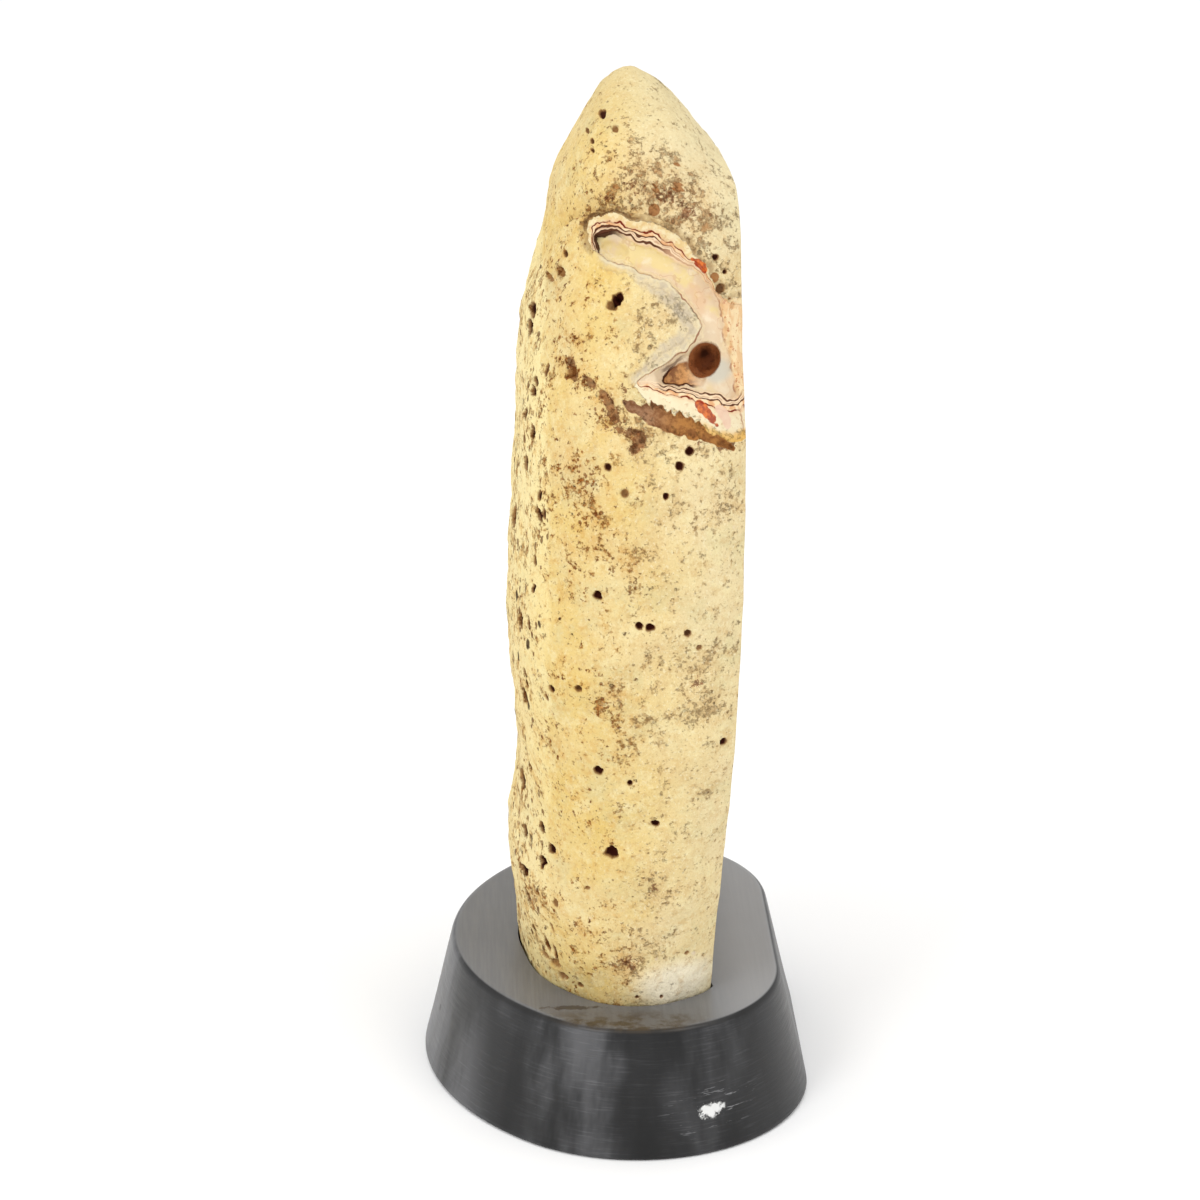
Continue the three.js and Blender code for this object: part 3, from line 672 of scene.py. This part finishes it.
class Look:
    """A material whose pattern is written as expressions on places in millimetres."""

    def __init__(self, name):
        self.material = bpy.data.materials.new(name)
        self.material.use_nodes = True
        self.tree = self.material.node_tree
        self.shader = self.tree.nodes["Principled BSDF"]
        place = self.node("ShaderNodeTexCoord", output="Object")
        self.place = self.vector("SCALE", place, Scale=1 / MM)
        self.x, self.y, self.z = (self.axis(name, self.place) for name in "XYZ")

    def node(self, kind, settings=None, sockets=None, output=0):
        made = self.tree.nodes.new(kind)
        for key, value in (settings or {}).items():
            if key == "stops":
                self.set_stops(made.color_ramp, value)
            else:
                setattr(made, key, value)
        self.join(made.inputs, sockets or {})
        return Socket(self, made.outputs[output])

    def join(self, inputs, sockets):
        for key, value in sockets.items():
            if isinstance(value, Socket):
                self.tree.links.new(value.socket, inputs[key])
            else:
                inputs[key].default_value = value

    def set_stops(self, ramp, stops):
        while len(ramp.elements) < len(stops):
            ramp.elements.new(1)
        for element, (position, colour) in zip(ramp.elements, stops):
            element.position = position
            element.color = tone(colour)

    def vector(self, operation, *vectors, output=0, **named):
        sockets = {**dict(enumerate(vectors)), **named}
        return self.node("ShaderNodeVectorMath", {"operation": operation}, sockets, output)

    def stored(self, name):
        """A value that carving has stored on the mesh."""
        return self.node("ShaderNodeAttribute", {"attribute_name": name}, output="Fac")

    def axis(self, name, vector):
        return self.node("ShaderNodeSeparateXYZ", sockets={0: vector}, output=name)

    def moved(self, x, y, z):
        return self.vector("ADD", self.place, (x, y, z))

    def stretched(self, x, y, z):
        return self.vector("MULTIPLY", self.place, (x, y, z))

    def away_from(self, place, scale=(1, 1, 1)):
        """Distance from a place, with each axis scaled."""
        apart = self.vector("MULTIPLY", self.vector("SUBTRACT", self.place, place), scale)
        return self.vector("LENGTH", apart, output="Value")

    def along(self, direction, start):
        """Distance from a start along a direction."""
        apart = self.vector("SUBTRACT", self.place, tuple(start))
        return self.vector("DOT_PRODUCT", apart, tuple(direction), output="Value")

    def grain(self, size, detail=2.0, rough=0.5, place=None, warp=0.0, output=0):
        """Noise around 0.5 with features of a size in millimetres."""
        sockets = {"Vector": place or self.place, "Scale": 1 / size, "Detail": detail, "Roughness": rough}
        sockets["Distortion"] = warp
        return self.node("ShaderNodeTexNoise", sockets=sockets, output=output)

    def jitter(self, reach, *grain, **more):
        """Noise around 0 that reaches half as far to each side."""
        return (self.grain(*grain, **more) - 0.5) * reach

    def mix(self, part, first, second):
        """A mix of two colours, each a socket or as on screen."""
        sockets = {0: part}
        for key, colour in ((6, first), (7, second)):
            sockets[key] = colour if isinstance(colour, Socket) else tone(colour)
        return self.node("ShaderNodeMix", {"data_type": "RGBA"}, sockets, 2)

    def cells(self, size, place=None, feature="F1", output="Distance"):
        sockets = {"Vector": place or self.place, "Scale": 1 / size}
        return self.node("ShaderNodeTexVoronoi", {"feature": feature}, sockets, output)

    def dots(self, size, radius, density, place=None):
        """Round dots in cells of a size, where density is above each cell's own chance."""
        own = self.cells(size, place, output="Color")
        chance, bulk = self.axis("X", own), self.axis("Y", own)
        reach = (bulk * 0.6 + 0.4) * radius
        dot = (reach - self.cells(size, place)).step(0.0, 0.1)
        return dot * (density - chance).step(0.0, 0.08)

    def finish(self, height, **inputs):
        """Joins the pattern to the shader. Height is in millimetres."""
        bump = {"Height": height, "Distance": MM, "Strength": 1.0}
        inputs["Normal"] = self.node("ShaderNodeBump", sockets=bump)
        self.join(self.shader.inputs, {name.replace("_", " "): value for name, value in inputs.items()})
        return self.material


def tone(screen):
    """A colour for a socket, from its red, green and blue on screen in hexadecimal."""
    shares = [value / 255 for value in bytes.fromhex(screen)]
    return (*(((v + 0.055) / 1.055) ** 2.4 if v > 0.04 else v / 12.92 for v in shares), 1)


def rock_colour(look):
    """Tan porous rock, golden on the left and paler on the right, and how near its white foot is."""
    x, z = look.x, look.z
    # The left flank is painted paler cream, partly its own paler rock and partly painted light from the
    # left.
    pale = x.step(-8, 26) * 0.85 + look.grain(30, 4).step(0.36, 0.64) * 0.45 + x.step(-17, -21) * 0.3
    gold = look.grain(10, 5, 0.66).step(0.48, 0.62) * x.step(18, -6)
    cool = look.grain(13, 5, 0.66, look.moved(40, 9, 77)).step(0.5, 0.64)
    tan = look.grain(2.8, 5, 0.7, look.moved(11, 52, 3)).step(0.53, 0.66)
    flank = (x + look.jitter(4, 12, 2)).step(-15.8, -17.4)
    # The foot is paler rock, painted brighter still as painted light against the shade near the stand.
    foot = look.away_from(WHITE_FOOT, (1, 0.4, 1.6)).step(14, 5)
    colour = (
        look.mix(pale.clamp(), "dfc37c", "e4d1a2")
        .coat(gold * 0.5, "d9b764")
        .coat(cool * 0.45, "d0c494")
        .coat(look.grain(5, 5, 0.68).step(0.5, 0.63) * 0.5, "eadcaa")
        .coat(tan * 0.38, "caa66a")
        .coat(flank * (z.step(110, 170) * 0.3 + 0.4), "f2e2a8")
        .coat(look.stored("cone") * x.step(-5, 8) * 0.55, "e8dcb4")
        .coat(z.step(234, 247) * 0.3, "c4b07c")
        .coat(foot * 0.85, "faf0d6")
    )
    return colour, foot


def rock_specks(look, colour, stain, flank, foot):
    """Adds pores, specks and rusty clusters to the rock. Gives the colour and the pores' depth."""
    x, cone = look.x, look.stored("cone")
    loose = look.vector("SUBTRACT", look.grain(1.4, 1, output="Color"), (0.5, 0.5, 0.5))
    wobbly = look.vector("ADD", look.place, look.vector("SCALE", loose, Scale=0.8))
    upright = look.vector("MULTIPLY", wobbly, (1, 0.5, 0.45))
    field = look.grain(4, 6, 0.75) + stain * 0.1 + flank * 0.04 + look.jitter(0.22, 26, 2)
    busy = (field.step(0.49, 0.67) * 0.76 + stain * 0.24 + 0.04) * (1 - foot * 0.7)
    right = (x + look.grain(9, 2) * 14).step(4, 16) * (1 - cone * stain * 0.8)
    strength = 1 - x.step(-12, 2) * 0.35 - right * 0.27 - cone * 0.12 - flank * 0.25
    mottle = look.grain(0.75, 4, 0.7)
    halo = (look.grain(2.6, 4, 0.66) + busy * 0.26).step(0.5, 0.76)
    rust = (look.grain(1.9, 6, 0.78, warp=0.4) + busy * 0.14).step(0.6, 0.7) * busy.step(0.25, 0.75)
    dashes = look.grain(0.9, 3, 0.6, look.stretched(0.5, 1, 1.5)).step(0.64, 0.69)
    fine = (mottle + busy * 0.12).step(0.66, 0.7)
    specks = (look.grain(1, 4, 0.68) + busy * 0.13).step(0.65, 0.69)
    colour = (
        colour.coat(halo * (0.5 - cone * 0.25), look.mix(right, "cc9846", "caa872"))
        .coat(mottle.step(0.46, 0.34) * (right * 0.22 + 0.28), "f0e6c0")
        .coat(look.grain(0.5, 3, 0.7).step(0.52, 0.68) * 0.2, "b89054")
        .coat(look.dots(8, 0.13, 0.35, wobbly) * 0.5, "deccbc")
        .coat(rust * strength * 0.7, look.mix(right, "b26824", "aa7a48"))
        .coat(dashes * x.step(0, 18) * 0.22, "947852")
        .coat(fine * strength * 0.4, look.mix(right, "a46222", "9a7244"))
        .coat(specks * (busy * 0.45 + 0.34) * strength, look.mix(right, "8c4810", "8a5e30"))
    )
    # Round holes: size of their cells, radius, density, place, strength, colour and depth.
    low_flank = flank * look.z.step(200, 182) * look.grain(8, 3).step(0.36, 0.58)
    umber = look.mix(right, "7a380a", "744a24")
    depth = specks * 0.1 + rust * 0.2
    for size, radius, density, place, part, dark, deep in (
        (1.25, 0.42, busy * 0.65, wobbly, strength * 0.8, umber, 0.2),
        (2, 0.19, busy * 0.75 + 0.2, wobbly, strength * 0.85, "5e2e0c", 0.2),
        (2.9, 0.25, busy * 0.5, wobbly, strength * 0.85, "48200a", 0.5),
        (1.3, 0.42, low_flank * 0.4 + flank * 0.05, upright, 0.8, "68380c", 0.4),
        (2.4, 0.36, low_flank * 0.3 + flank * 0.04, upright, 0.9, "361c08", 0.6),
    ):
        holes = look.dots(size, radius, density, place)
        colour = colour.coat(holes * part, dark)
        depth += holes * deep
    return colour, depth


def agate_colour(look, ledge, knob):
    """The agate's bands, from its rim down to the channel's floor."""
    x, z = look.x, look.z
    level = ledge + look.jitter(0.08, 1.3, 3)
    low = z.step(198, 192)
    clear = (x + look.grain(5) * 6).step(17, 10).most(low)
    dark = look.mix(clear, "a66238", "501e06")
    clear = (clear * 0.5 + 0.45) * (1 - low * x.step(9, 7.4) * 0.8)
    thick = x.step(3, -2) * 0.03 + 0.004
    worn = look.grain(2.4, 3, 0.6).step(0.34, 0.5)
    # The wall down from the knob is painted paler cream, as painted light against the shade that falls on
    # it.
    wall = (knob + look.jitter(1, 1.5)).band(-0.5, 0.3, 0.3) * z.step(190, 197)
    # The dark crescent at the channel's left end is painted shadow under the lip of its end pocket.
    tip = x.step(2, -2) * level.band(1.01, 0.03, 0.03) * z.step(213, 214.5)
    crook = x.step(15, 12.5) * x.step(8.6, 9.6) * z.step(196, 193) * knob.band(-0.9, 0.25, 0.25)
    pink = look.mix(look.grain(1.8, 3).step(0.4, 0.6), "eed4ac", "deaa7a")
    agate = (
        look.mix(look.grain(2, 4, 0.65).step(0.38, 0.62), "e2d2a8", "d6b880")
        .coat(z.step(194, 188) * 0.7, "eadebe")
        .coat(look.grain(1.1, 3, 0.6).step(0.56, 0.66) * 0.45, "bc8c5c")
        .coat(level.step(0.28, 0.42) * 0.6, "deb48a")
        .coat(level.step(0.45, 0.48), pink)
        .coat(level.step(0.66, 0.7), look.mix(look.grain(1.1, 3), "f4e0be", "e0be98"))
        .coat(level.band(0.46, 0.022, 0.03) * (worn * 0.8 + 0.2), "74200c")
        .coat(level.band(0.78, 0.012, 0.03) * worn * 0.5, "a86c4c")
        .coat(level.band(0.68, 0.02, 0.02, thick) * clear, dark)
        .coat(level.band(0.91, 0.028, 0.02, thick) * clear, dark)
        .coat(level.step(0.985, 1.03), floor_colour(look, x, z))
        .coat(wall * 0.6, "f0e0ba")
        .coat(tip * 0.95, "3e1403")
        .coat(crook * 0.6, "54260e")
    )

    # Coarse red streaks beyond the floor, at the sawn edge.
    lip = x + (z - 200) * 0.2 + look.jitter(2.4, 3)
    beyond = lip.step(22.4, 23.2) * (z + look.grain(2.4, 3) * 6).step(209, 205) * z.step(182, 185)
    stripes = look.grain(1.8, 3, 0.6, look.stretched(1.5, 1, 0.4)).step(0.42, 0.56)
    flecks = (look.grain(1, 4, 0.7) + z.step(196, 186) * 0.03).step(0.58, 0.64)
    coarse = look.mix(stripes * 0.8, "e8d0a4", "deb484").coat(flecks * 0.7, "b05c34")
    broken = lip.band(22.7, 0.1, 0.2) * z.step(207, 204) * look.grain(3.2, 3).step(0.42, 0.58)
    return agate.coat(beyond, coarse).coat(broken * 0.6, "965432")


def floor_colour(look, x, z):
    """The smooth floor of the channel: cream above, pink below."""
    patches = (look.grain(4.6, 3) + z.step(213, 204) * 0.16).step(0.42, 0.62)
    blush = look.grain(6, 2, 0.5, look.moved(9, 31, 8)).step(0.52, 0.66)
    return (
        look.mix(patches, "e6d29a", "e2ccac")
        .coat(look.grain(3, 4, 0.6).step(0.5, 0.66) * 0.6, "f0e4cc")
        .coat(blush * 0.4, "deb288")
        .coat(look.grain(6, 3, 0.5).band(0.5, 0.004, 0.012) * 0.25, "b4784c")
        .coat(z.step(200, 190) * 0.4, "d6c0a0")
        .coat(look.away_from(COOL_END, (1, 0.2, 1.3)).step(4.4, 2) * 0.8, "c6c4b6")
    )


def rock_marks(look, colour, ledge):
    """Adds silt, a painted shadow line under the shoulder, earth, rust and the dark of pits to the rock."""
    x, z, pit = look.x, look.z, look.stored("pit")
    silt = (ledge + look.jitter(0.9, 2.2, 4, 0.65)).step(-0.5, -0.05) * z.step(200, 208)
    shadow = (ledge + look.jitter(0.2, 2, 3)).band(-0.12, 0.04, 0.08) * z.step(218, 220) * x.step(6, 2)
    mud = (look.stored("mud") + look.jitter(3, 1.6, 5, 0.75, warp=0.4)).step(0.42, 0.6)
    rusty = look.mix(look.grain(0.8, 3), "b0743a", "7c4422")
    return (
        colour.coat(silt * 0.65, "8e6c46")
        .coat(shadow * 0.75, "684828")
        .coat(mud * 0.8, look.mix(look.grain(1.6, 4, 0.65).step(0.38, 0.62), "985e38", "62321a"))
        .coat(look.stored("rust").step(0.3, 0.7) * 0.85, rusty)
        .coat(pit.step(0.1, 0.45) * 0.75, "8c5424")
        .coat(pit.step(0.35, 0.85), "3a140a")
    )


def pocket_and_eye(look, agate):
    """Adds the tawny pocket at the foot of the channel and the round eye above it."""
    x, z, pocket, eye = look.x, look.z, look.stored("pocket"), look.stored("eye")
    tawny = look.mix(look.grain(2, 4, 0.65).step(0.38, 0.62), "d89c5c", "8c5228")
    brink = (pocket + look.jitter(0.4, 1.5, 3)).band(0.35, 0.3, 0.15) * pocket.step(0.01, 0.08)
    brink = brink * (x.step(13, 10.5) + z.step(188.8, 188)).clamp() * x.step(17.5, 15.5)
    core = (look.away_from(EYE_CORE, (1.5, 0, 1)) + look.jitter(2.4, 1.2, 4, 0.7)).step(2.6, 0.4)
    ball = (
        look.mix((eye + look.jitter(0.5, 1.4, 4, 0.65)).step(0.45, 0.85), "9c6038", "6e3a1c")
        .coat(core * 0.9, "2c1006")
        .coat(look.grain(0.9, 4, 0.7).step(0.5, 0.62) * 0.45, "3c1c0c")
    )
    return (
        agate.coat(pocket.step(0.0, 0.7) * x.step(19, 14) * 0.9, tawny)
        .coat(brink * 0.95, "421804")
        .coat((eye + look.jitter(0.4, 1, 3, 0.6)).step(0.15, 0.45), ball)
    )


def edge_colours(look, colour, ledge, knob):
    """Adds the translucent grey band on the knob, the lenses and the crack around the channel."""
    x, z = look.x, look.z
    along = x.step(-6, -3) * z.step(187.6, 188.4)
    wavy = knob + look.jitter(1.4, 1.8, 3)
    wide = x.step(0, 10) * 3 + 1
    grey = look.mix(look.grain(2, 4, 0.6).step(0.4, 0.6), "c4b69e", "dccaa4")
    crisp = (x.step(10, 14) + z.step(194, 191)) * 0.4 + look.grain(3.2, 3).step(0.44, 0.58) * 0.35
    gilt = ledge.band(-0.06, 0.06, 0.05) * x.step(17, 19) * z.step(184, 181)
    lens = (look.stored("lens") + look.jitter(0.6, 1.3, 3)).step(0.35, 0.5)
    ember = (look.stored("ember") + look.jitter(0.6, 1.3, 3)).step(0.36, 0.5)
    earth = look.mix(x.step(4, 14), "a67e5e", "b07a42")
    earth = earth.coat(look.grain(2.2, 4, 0.65).step(0.4, 0.62) * 0.75, "7a4c2c")
    return (
        colour.coat((wavy - wide).step(1, -0.8) * knob.step(0, 0.1) * along * 0.85, grey)
        .coat(wavy.band(0.45, 0.1, 0.3) * along * 0.6, "e2d4ae")
        .coat(wavy.band(1.9, 0.05, 0.4) * along * 0.25, "967e68")
        .coat(knob.band(0.02, 0.1, 0.12) * along * crisp, "964c2e")
        .coat(gilt * 0.8, "dca84a")
        .coat(lens * 0.9, look.mix(look.grain(2), "e8d0b6", "deb298"))
        .coat(ember * 0.9, look.mix(look.grain(1.6, 3, 0.6).step(0.4, 0.62), "d86a22", "96260a"))
        .coat(look.stored("crack").step(0.05, 0.4), earth)
    )


def stone_look():
    look = Look("rock_and_agate")
    stain, ledge, knob = look.stored("stain"), look.stored("ledge"), look.stored("knob")
    rock, foot = rock_colour(look)
    colour = rock.coat(stain * 0.25, "c09258")
    colour, pores = rock_specks(look, colour, stain, look.x.step(-16, -19), foot)
    colour = rock_marks(look, colour, ledge)
    agate = pocket_and_eye(look, agate_colour(look, ledge, knob))
    torn = look.jitter(0.35, 1.2, 4, 0.65)
    in_channel = (ledge + torn * ledge.step(0.3, 0.1)).step(-0.01, 0.02) * knob.step(0.05, -0.05)
    colour = edge_colours(look, colour.coat(in_channel, agate), ledge, knob)
    sawn = look.along(CUT_NORMAL, CUT_CORNER).step(-0.03, -0.01)
    size = look.stored("hollow")
    hollow = size.step(0.01, 0.05)
    colour = colour.coat(sawn.most(hollow), sawn_colour(look, rock, size))
    polished = sawn.most(hollow * 0.5)
    roughness = look.grain(3, 3) * 0.14 + 0.76 - in_channel * 0.3 - polished * 0.6
    height = look.grain(4.5, 3) * 0.4 + look.grain(1.3, 4, 0.6) * 0.4 + look.grain(0.5, 2) * 0.12
    height = (height * (1 - in_channel * 0.8) - pores * (1 - in_channel)) * (1 - sawn * 0.97)
    return look.finish(
        height, Base_Color=colour, Roughness=roughness.most(0.12), Coat_Weight=polished * 0.5,
        Specular_IOR_Level=0.09, Coat_Roughness=0.12,
    )


def sawn_colour(look, rock, hollow):
    """Agate lace within a rind of rock, as the saw would show it, around a hollow painted dark, darker
    inwards as painted shade.
    """
    across, up = (look.along(direction, face_place(0, 0)) for direction in (CUT_ACROSS, CUT_UP))
    far = ((across / 42) ** 2 + ((up + 2) / 90) ** 2) ** 0.5
    lobe = (((across + 53) / 15) ** 2 + ((up - 60) / 18) ** 2) ** 0.5 * 0.38 + 0.62
    far = far.math("SMOOTH_MIN", lobe, 0.12)
    scallop = look.cells(15, feature="SMOOTH_F1") * 0.16 + look.jitter(0.3, 24, 3)
    level = far + scallop + look.jitter(0.05, 5, 3)
    stops = [
        (0.0, "beb4a6"), (0.2, "d8c8ac"), (0.27, "b06846"), (0.3, "dcccb0"), (0.4, "ccbeb0"),
        (0.46, "e6dcc2"), (0.52, "8c442c"), (0.54, "dcc29a"), (0.62, "bcb2a8"), (0.68, "e2d4b8"),
        (0.73, "402820"), (0.745, "d4bc9c"), (0.8, "38221c"), (0.815, "dac29e"), (0.87, "984c32"),
        (0.885, "e6dabe"), (0.96, "e4d6b4"),
    ]
    lace = look.node("ShaderNodeValToRGB", {"stops": stops}, {0: level})
    lace = lace.coat((level * 18).math("FRACT").band(0.5, 0.06, 0.1) * 0.25, "a06c50")
    rind = look.mix(look.grain(7, 4) * 0.7, rock, "c49c60")
    lace = lace.coat(level.step(0.985, 1.0), rind)
    # The hollow's crystals are painted dark, darkest in its depths: partly their colour, partly painted
    # shade.
    druse_and_shade = look.mix(look.cells(2.2), "968470", "5c4838")
    druse_and_shade = druse_and_shade.coat(hollow.step(0.9, 0.35), "34261c")
    return lace.coat(hollow.step(0.01, 0.05), druse_and_shade)


def stand_ring(offset, z):
    """The stand's D at a height, grown outwards by an offset."""
    corner_x = STAND_HALF_WIDTH - STAND_CORNER
    corner_y = STAND_HALF_LENGTH - STAND_CORNER
    bow_x = corner_y ** 2 / (4 * corner_x)
    meet = math.atan2(corner_y, corner_x - bow_x)

    def arc(x, y, radius, start, end, count):
        turns = start + (end - start) * np.arange(count) / count
        reach = radius + offset
        return [(x + reach * math.cos(t), y + reach * math.sin(t), z) for t in turns]

    flat = [(STAND_HALF_WIDTH + offset, y, z) for y in np.linspace(-corner_y, corner_y, 9)[:-1]]
    return (
        flat
        + arc(corner_x, corner_y, STAND_CORNER, 0, meet, 56)
        + arc(bow_x, 0, bow_x + STAND_HALF_WIDTH, meet, 2 * math.pi - meet, 120)
        + arc(corner_x, -corner_y, STAND_CORNER, 2 * math.pi - meet, 2 * math.pi, 56)
    )


def socket_ring():
    """Where the socket meets the top of the stand, in order around it."""
    bm = nodule(SOCKET_GAP)
    bmesh.ops.edgeloop_fill(bm, edges=saw(bm, SOCKET_GAP))
    edges = cut_off(bm, (0, 0, STAND_HEIGHT), (0, 0, 1), 1e-4)
    ring = set(edges)
    edge = edges[0]
    start = vert = edge.verts[0]
    places = []
    while not places or vert != start:
        places.append((vert.co.x, vert.co.y, STAND_HEIGHT))
        vert = edge.other_vert(vert)
        edge = next(e for e in vert.link_edges if e in ring and e != edge)
    bm.free()
    return places


def make_stand():
    bm = bmesh.new()
    rings = [ring_of(bm, stand_ring(offset, z)) for z, offset in STAND_PROFILE]
    bmesh.ops.edgeloop_fill(bm, edges=rings[0])
    for lower, upper in zip(rings, rings[1:]):
        bmesh.ops.bridge_loops(bm, edges=lower + upper)
    socket = ring_of(bm, socket_ring())
    bmesh.ops.triangle_fill(bm, use_beauty=False, edges=rings[-1] + socket, normal=(0, 0, 1))
    floor, verts = next_ring(bm, socket)
    for vert in verts:
        vert.co.z = SOCKET_FLOOR
    bmesh.ops.edgeloop_fill(bm, edges=floor)
    return add_mesh("wooden_stand", bm)


def stand_look():
    look = Look("black_stained_wood")
    x, y, z = look.x, look.y, look.z
    top = z.step(30.75, 30.95)
    side_grain = look.grain(0.7, 4, 0.6, look.stretched(0.08, 0.08, 1.3))
    top_grain = look.grain(0.7, 4, 0.6, look.stretched(1, 0.04, 1))
    grain = side_grain * (1 - top) + top_grain * top
    cloud = look.grain(13, 4, 0.55, look.stretched(1, 1, 0.25))
    # The sides get soft vertical bands of painted sheen, brightest at the left end, with brushed painted
    # highlights inside them, standing in for reflections of the lights.
    sway = x + look.jitter(24, 20, 2)
    painted_sheen = sway.band(-11, 5, 9) * 0.85 + sway.band(21, 2, 8) * 0.38 + x.step(-30, -42) * 1.1 + 0.1
    side = look.mix((cloud.step(0.3, 0.66) * painted_sheen).clamp(), "080809", "58585a")
    side = side.coat(side_grain.step(0.5, 0.72) * cloud.step(0.32, 0.6) * (painted_sheen + 0.1) * 0.5, "68686a")
    # The top is painted mid grey, lighter towards the right: a painted reflection of the bright surroundings
    # on the dark wood.
    flat = look.mix(top_grain.step(0.35, 0.7), "69696a", "737373")
    flat = flat.coat(x.step(18, 34), "8c8c8d")
    colour = look.mix(top, side, flat)
    # The brownish front of the top is a painted reflection of the stone, mixed with wear.
    front = y.step(-42, -52) * x.step(-22, -10) * x.step(24, 12)
    worn = z.step(29.9, 30.5) * front * (look.grain(5, 4, 0.7).step(0.4, 0.6) * 0.6 + 0.3)
    edge = z.band(30.3, 0.25, 0.3) * y.step(-20, -40)
    streak = (look.away_from(STREAK, (0.2, 1.2, 0)) + look.jitter(3.6, 2.2, 4, 0.7)).step(1.5, 0.9)
    away = look.away_from(CHIP, (0.9, 0.2, 1.6))
    chip = (away + look.jitter(8, 1.8, 5, 0.75)).step(3, 1.8)
    scuffs = look.grain(0.8, 3, 0.7, look.stretched(0.12, 0.12, 1)).step(0.6, 0.68) * away.step(13, 3)
    colour = (
        colour.coat(worn, "423626")
        .coat(edge * 0.5, "181614")
        .coat(streak * top * 0.7, "302418")
        .coat(scuffs * 0.55, "aaaaac")
        .coat(chip, "e2e2e0")
        .coat(look.dots(7, 0.045, 0.5) * 0.6, "bebebe")
        .coat(look.away_from(PINHOLE).step(1, 0.6), "0a0a0a")
    )
    roughness = grain.step(0.2, 0.8) * 0.14 + cloud.step(0.3, 0.7) * 0.08 + 0.28 + chip * 0.3
    height = grain * (0.06 - top * 0.035) + look.grain(0.35, 2) * 0.008 - chip * 0.2
    return look.finish(
        height, Base_Color=colour, Roughness=roughness, Specular_IOR_Level=0.3, Coat_Weight=0.15,
        Coat_Roughness=0.2,
    )


def make_floor():
    bm = bmesh.new()
    bmesh.ops.create_grid(bm, x_segments=1, y_segments=1, size=FLOOR_SIZE)
    floor = add_mesh("floor", bm)
    material = bpy.data.materials.new("pale_floor")
    material.use_nodes = True
    shader = material.node_tree.nodes["Principled BSDF"]
    shader.inputs["Base Color"].default_value = FLOOR_COLOUR
    shader.inputs["Roughness"].default_value = FLOOR_ROUGHNESS
    floor.data.materials.append(material)


def add_light(name, place, size, power):
    lamp = bpy.data.lights.new(name, "AREA")
    lamp.shape = "RECTANGLE"
    lamp.size, lamp.size_y = size
    lamp.energy = power
    made = add_object(name, lamp)
    made.location = place
    made.rotation_euler = (Vector(place) - LIT_PLACE).to_track_quat("Z", "Y").to_euler()


def set_stage():
    make_floor()
    for name, light in LIGHTS.items():
        add_light(name, *light)
    world = bpy.data.worlds.new("studio")
    world.use_nodes = True
    sky = world.node_tree.nodes["Background"]
    sky.inputs["Color"].default_value = (1, 1, 1, 1)
    sky.inputs["Strength"].default_value = SKY_STRENGTH
    bpy.context.scene.world = world
    bpy.context.scene.view_settings.view_transform = "Standard"


def set_camera():
    lens = bpy.data.cameras.new("camera")
    lens.sensor_width = SENSOR
    lens.lens = LENS
    camera = add_object("camera", lens)
    back = Vector((
        math.sin(CAMERA_TURN) * math.cos(CAMERA_RISE),
        -math.cos(CAMERA_TURN) * math.cos(CAMERA_RISE),
        math.sin(CAMERA_RISE),
    ))
    camera.location = AIM + back * CAMERA_DISTANCE
    camera.rotation_euler = (math.pi / 2 - CAMERA_RISE, 0, CAMERA_TURN)
    bpy.context.scene.camera = camera


def main():
    set_camera()
    set_stage()
    stone = make_stone()
    stone.data.materials.append(stone_look())
    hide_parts("stone")
    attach(stone, "root")
    stand = make_stand()
    stand.data.materials.append(stand_look())
    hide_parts("stand")
    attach(stand, "root")


main()
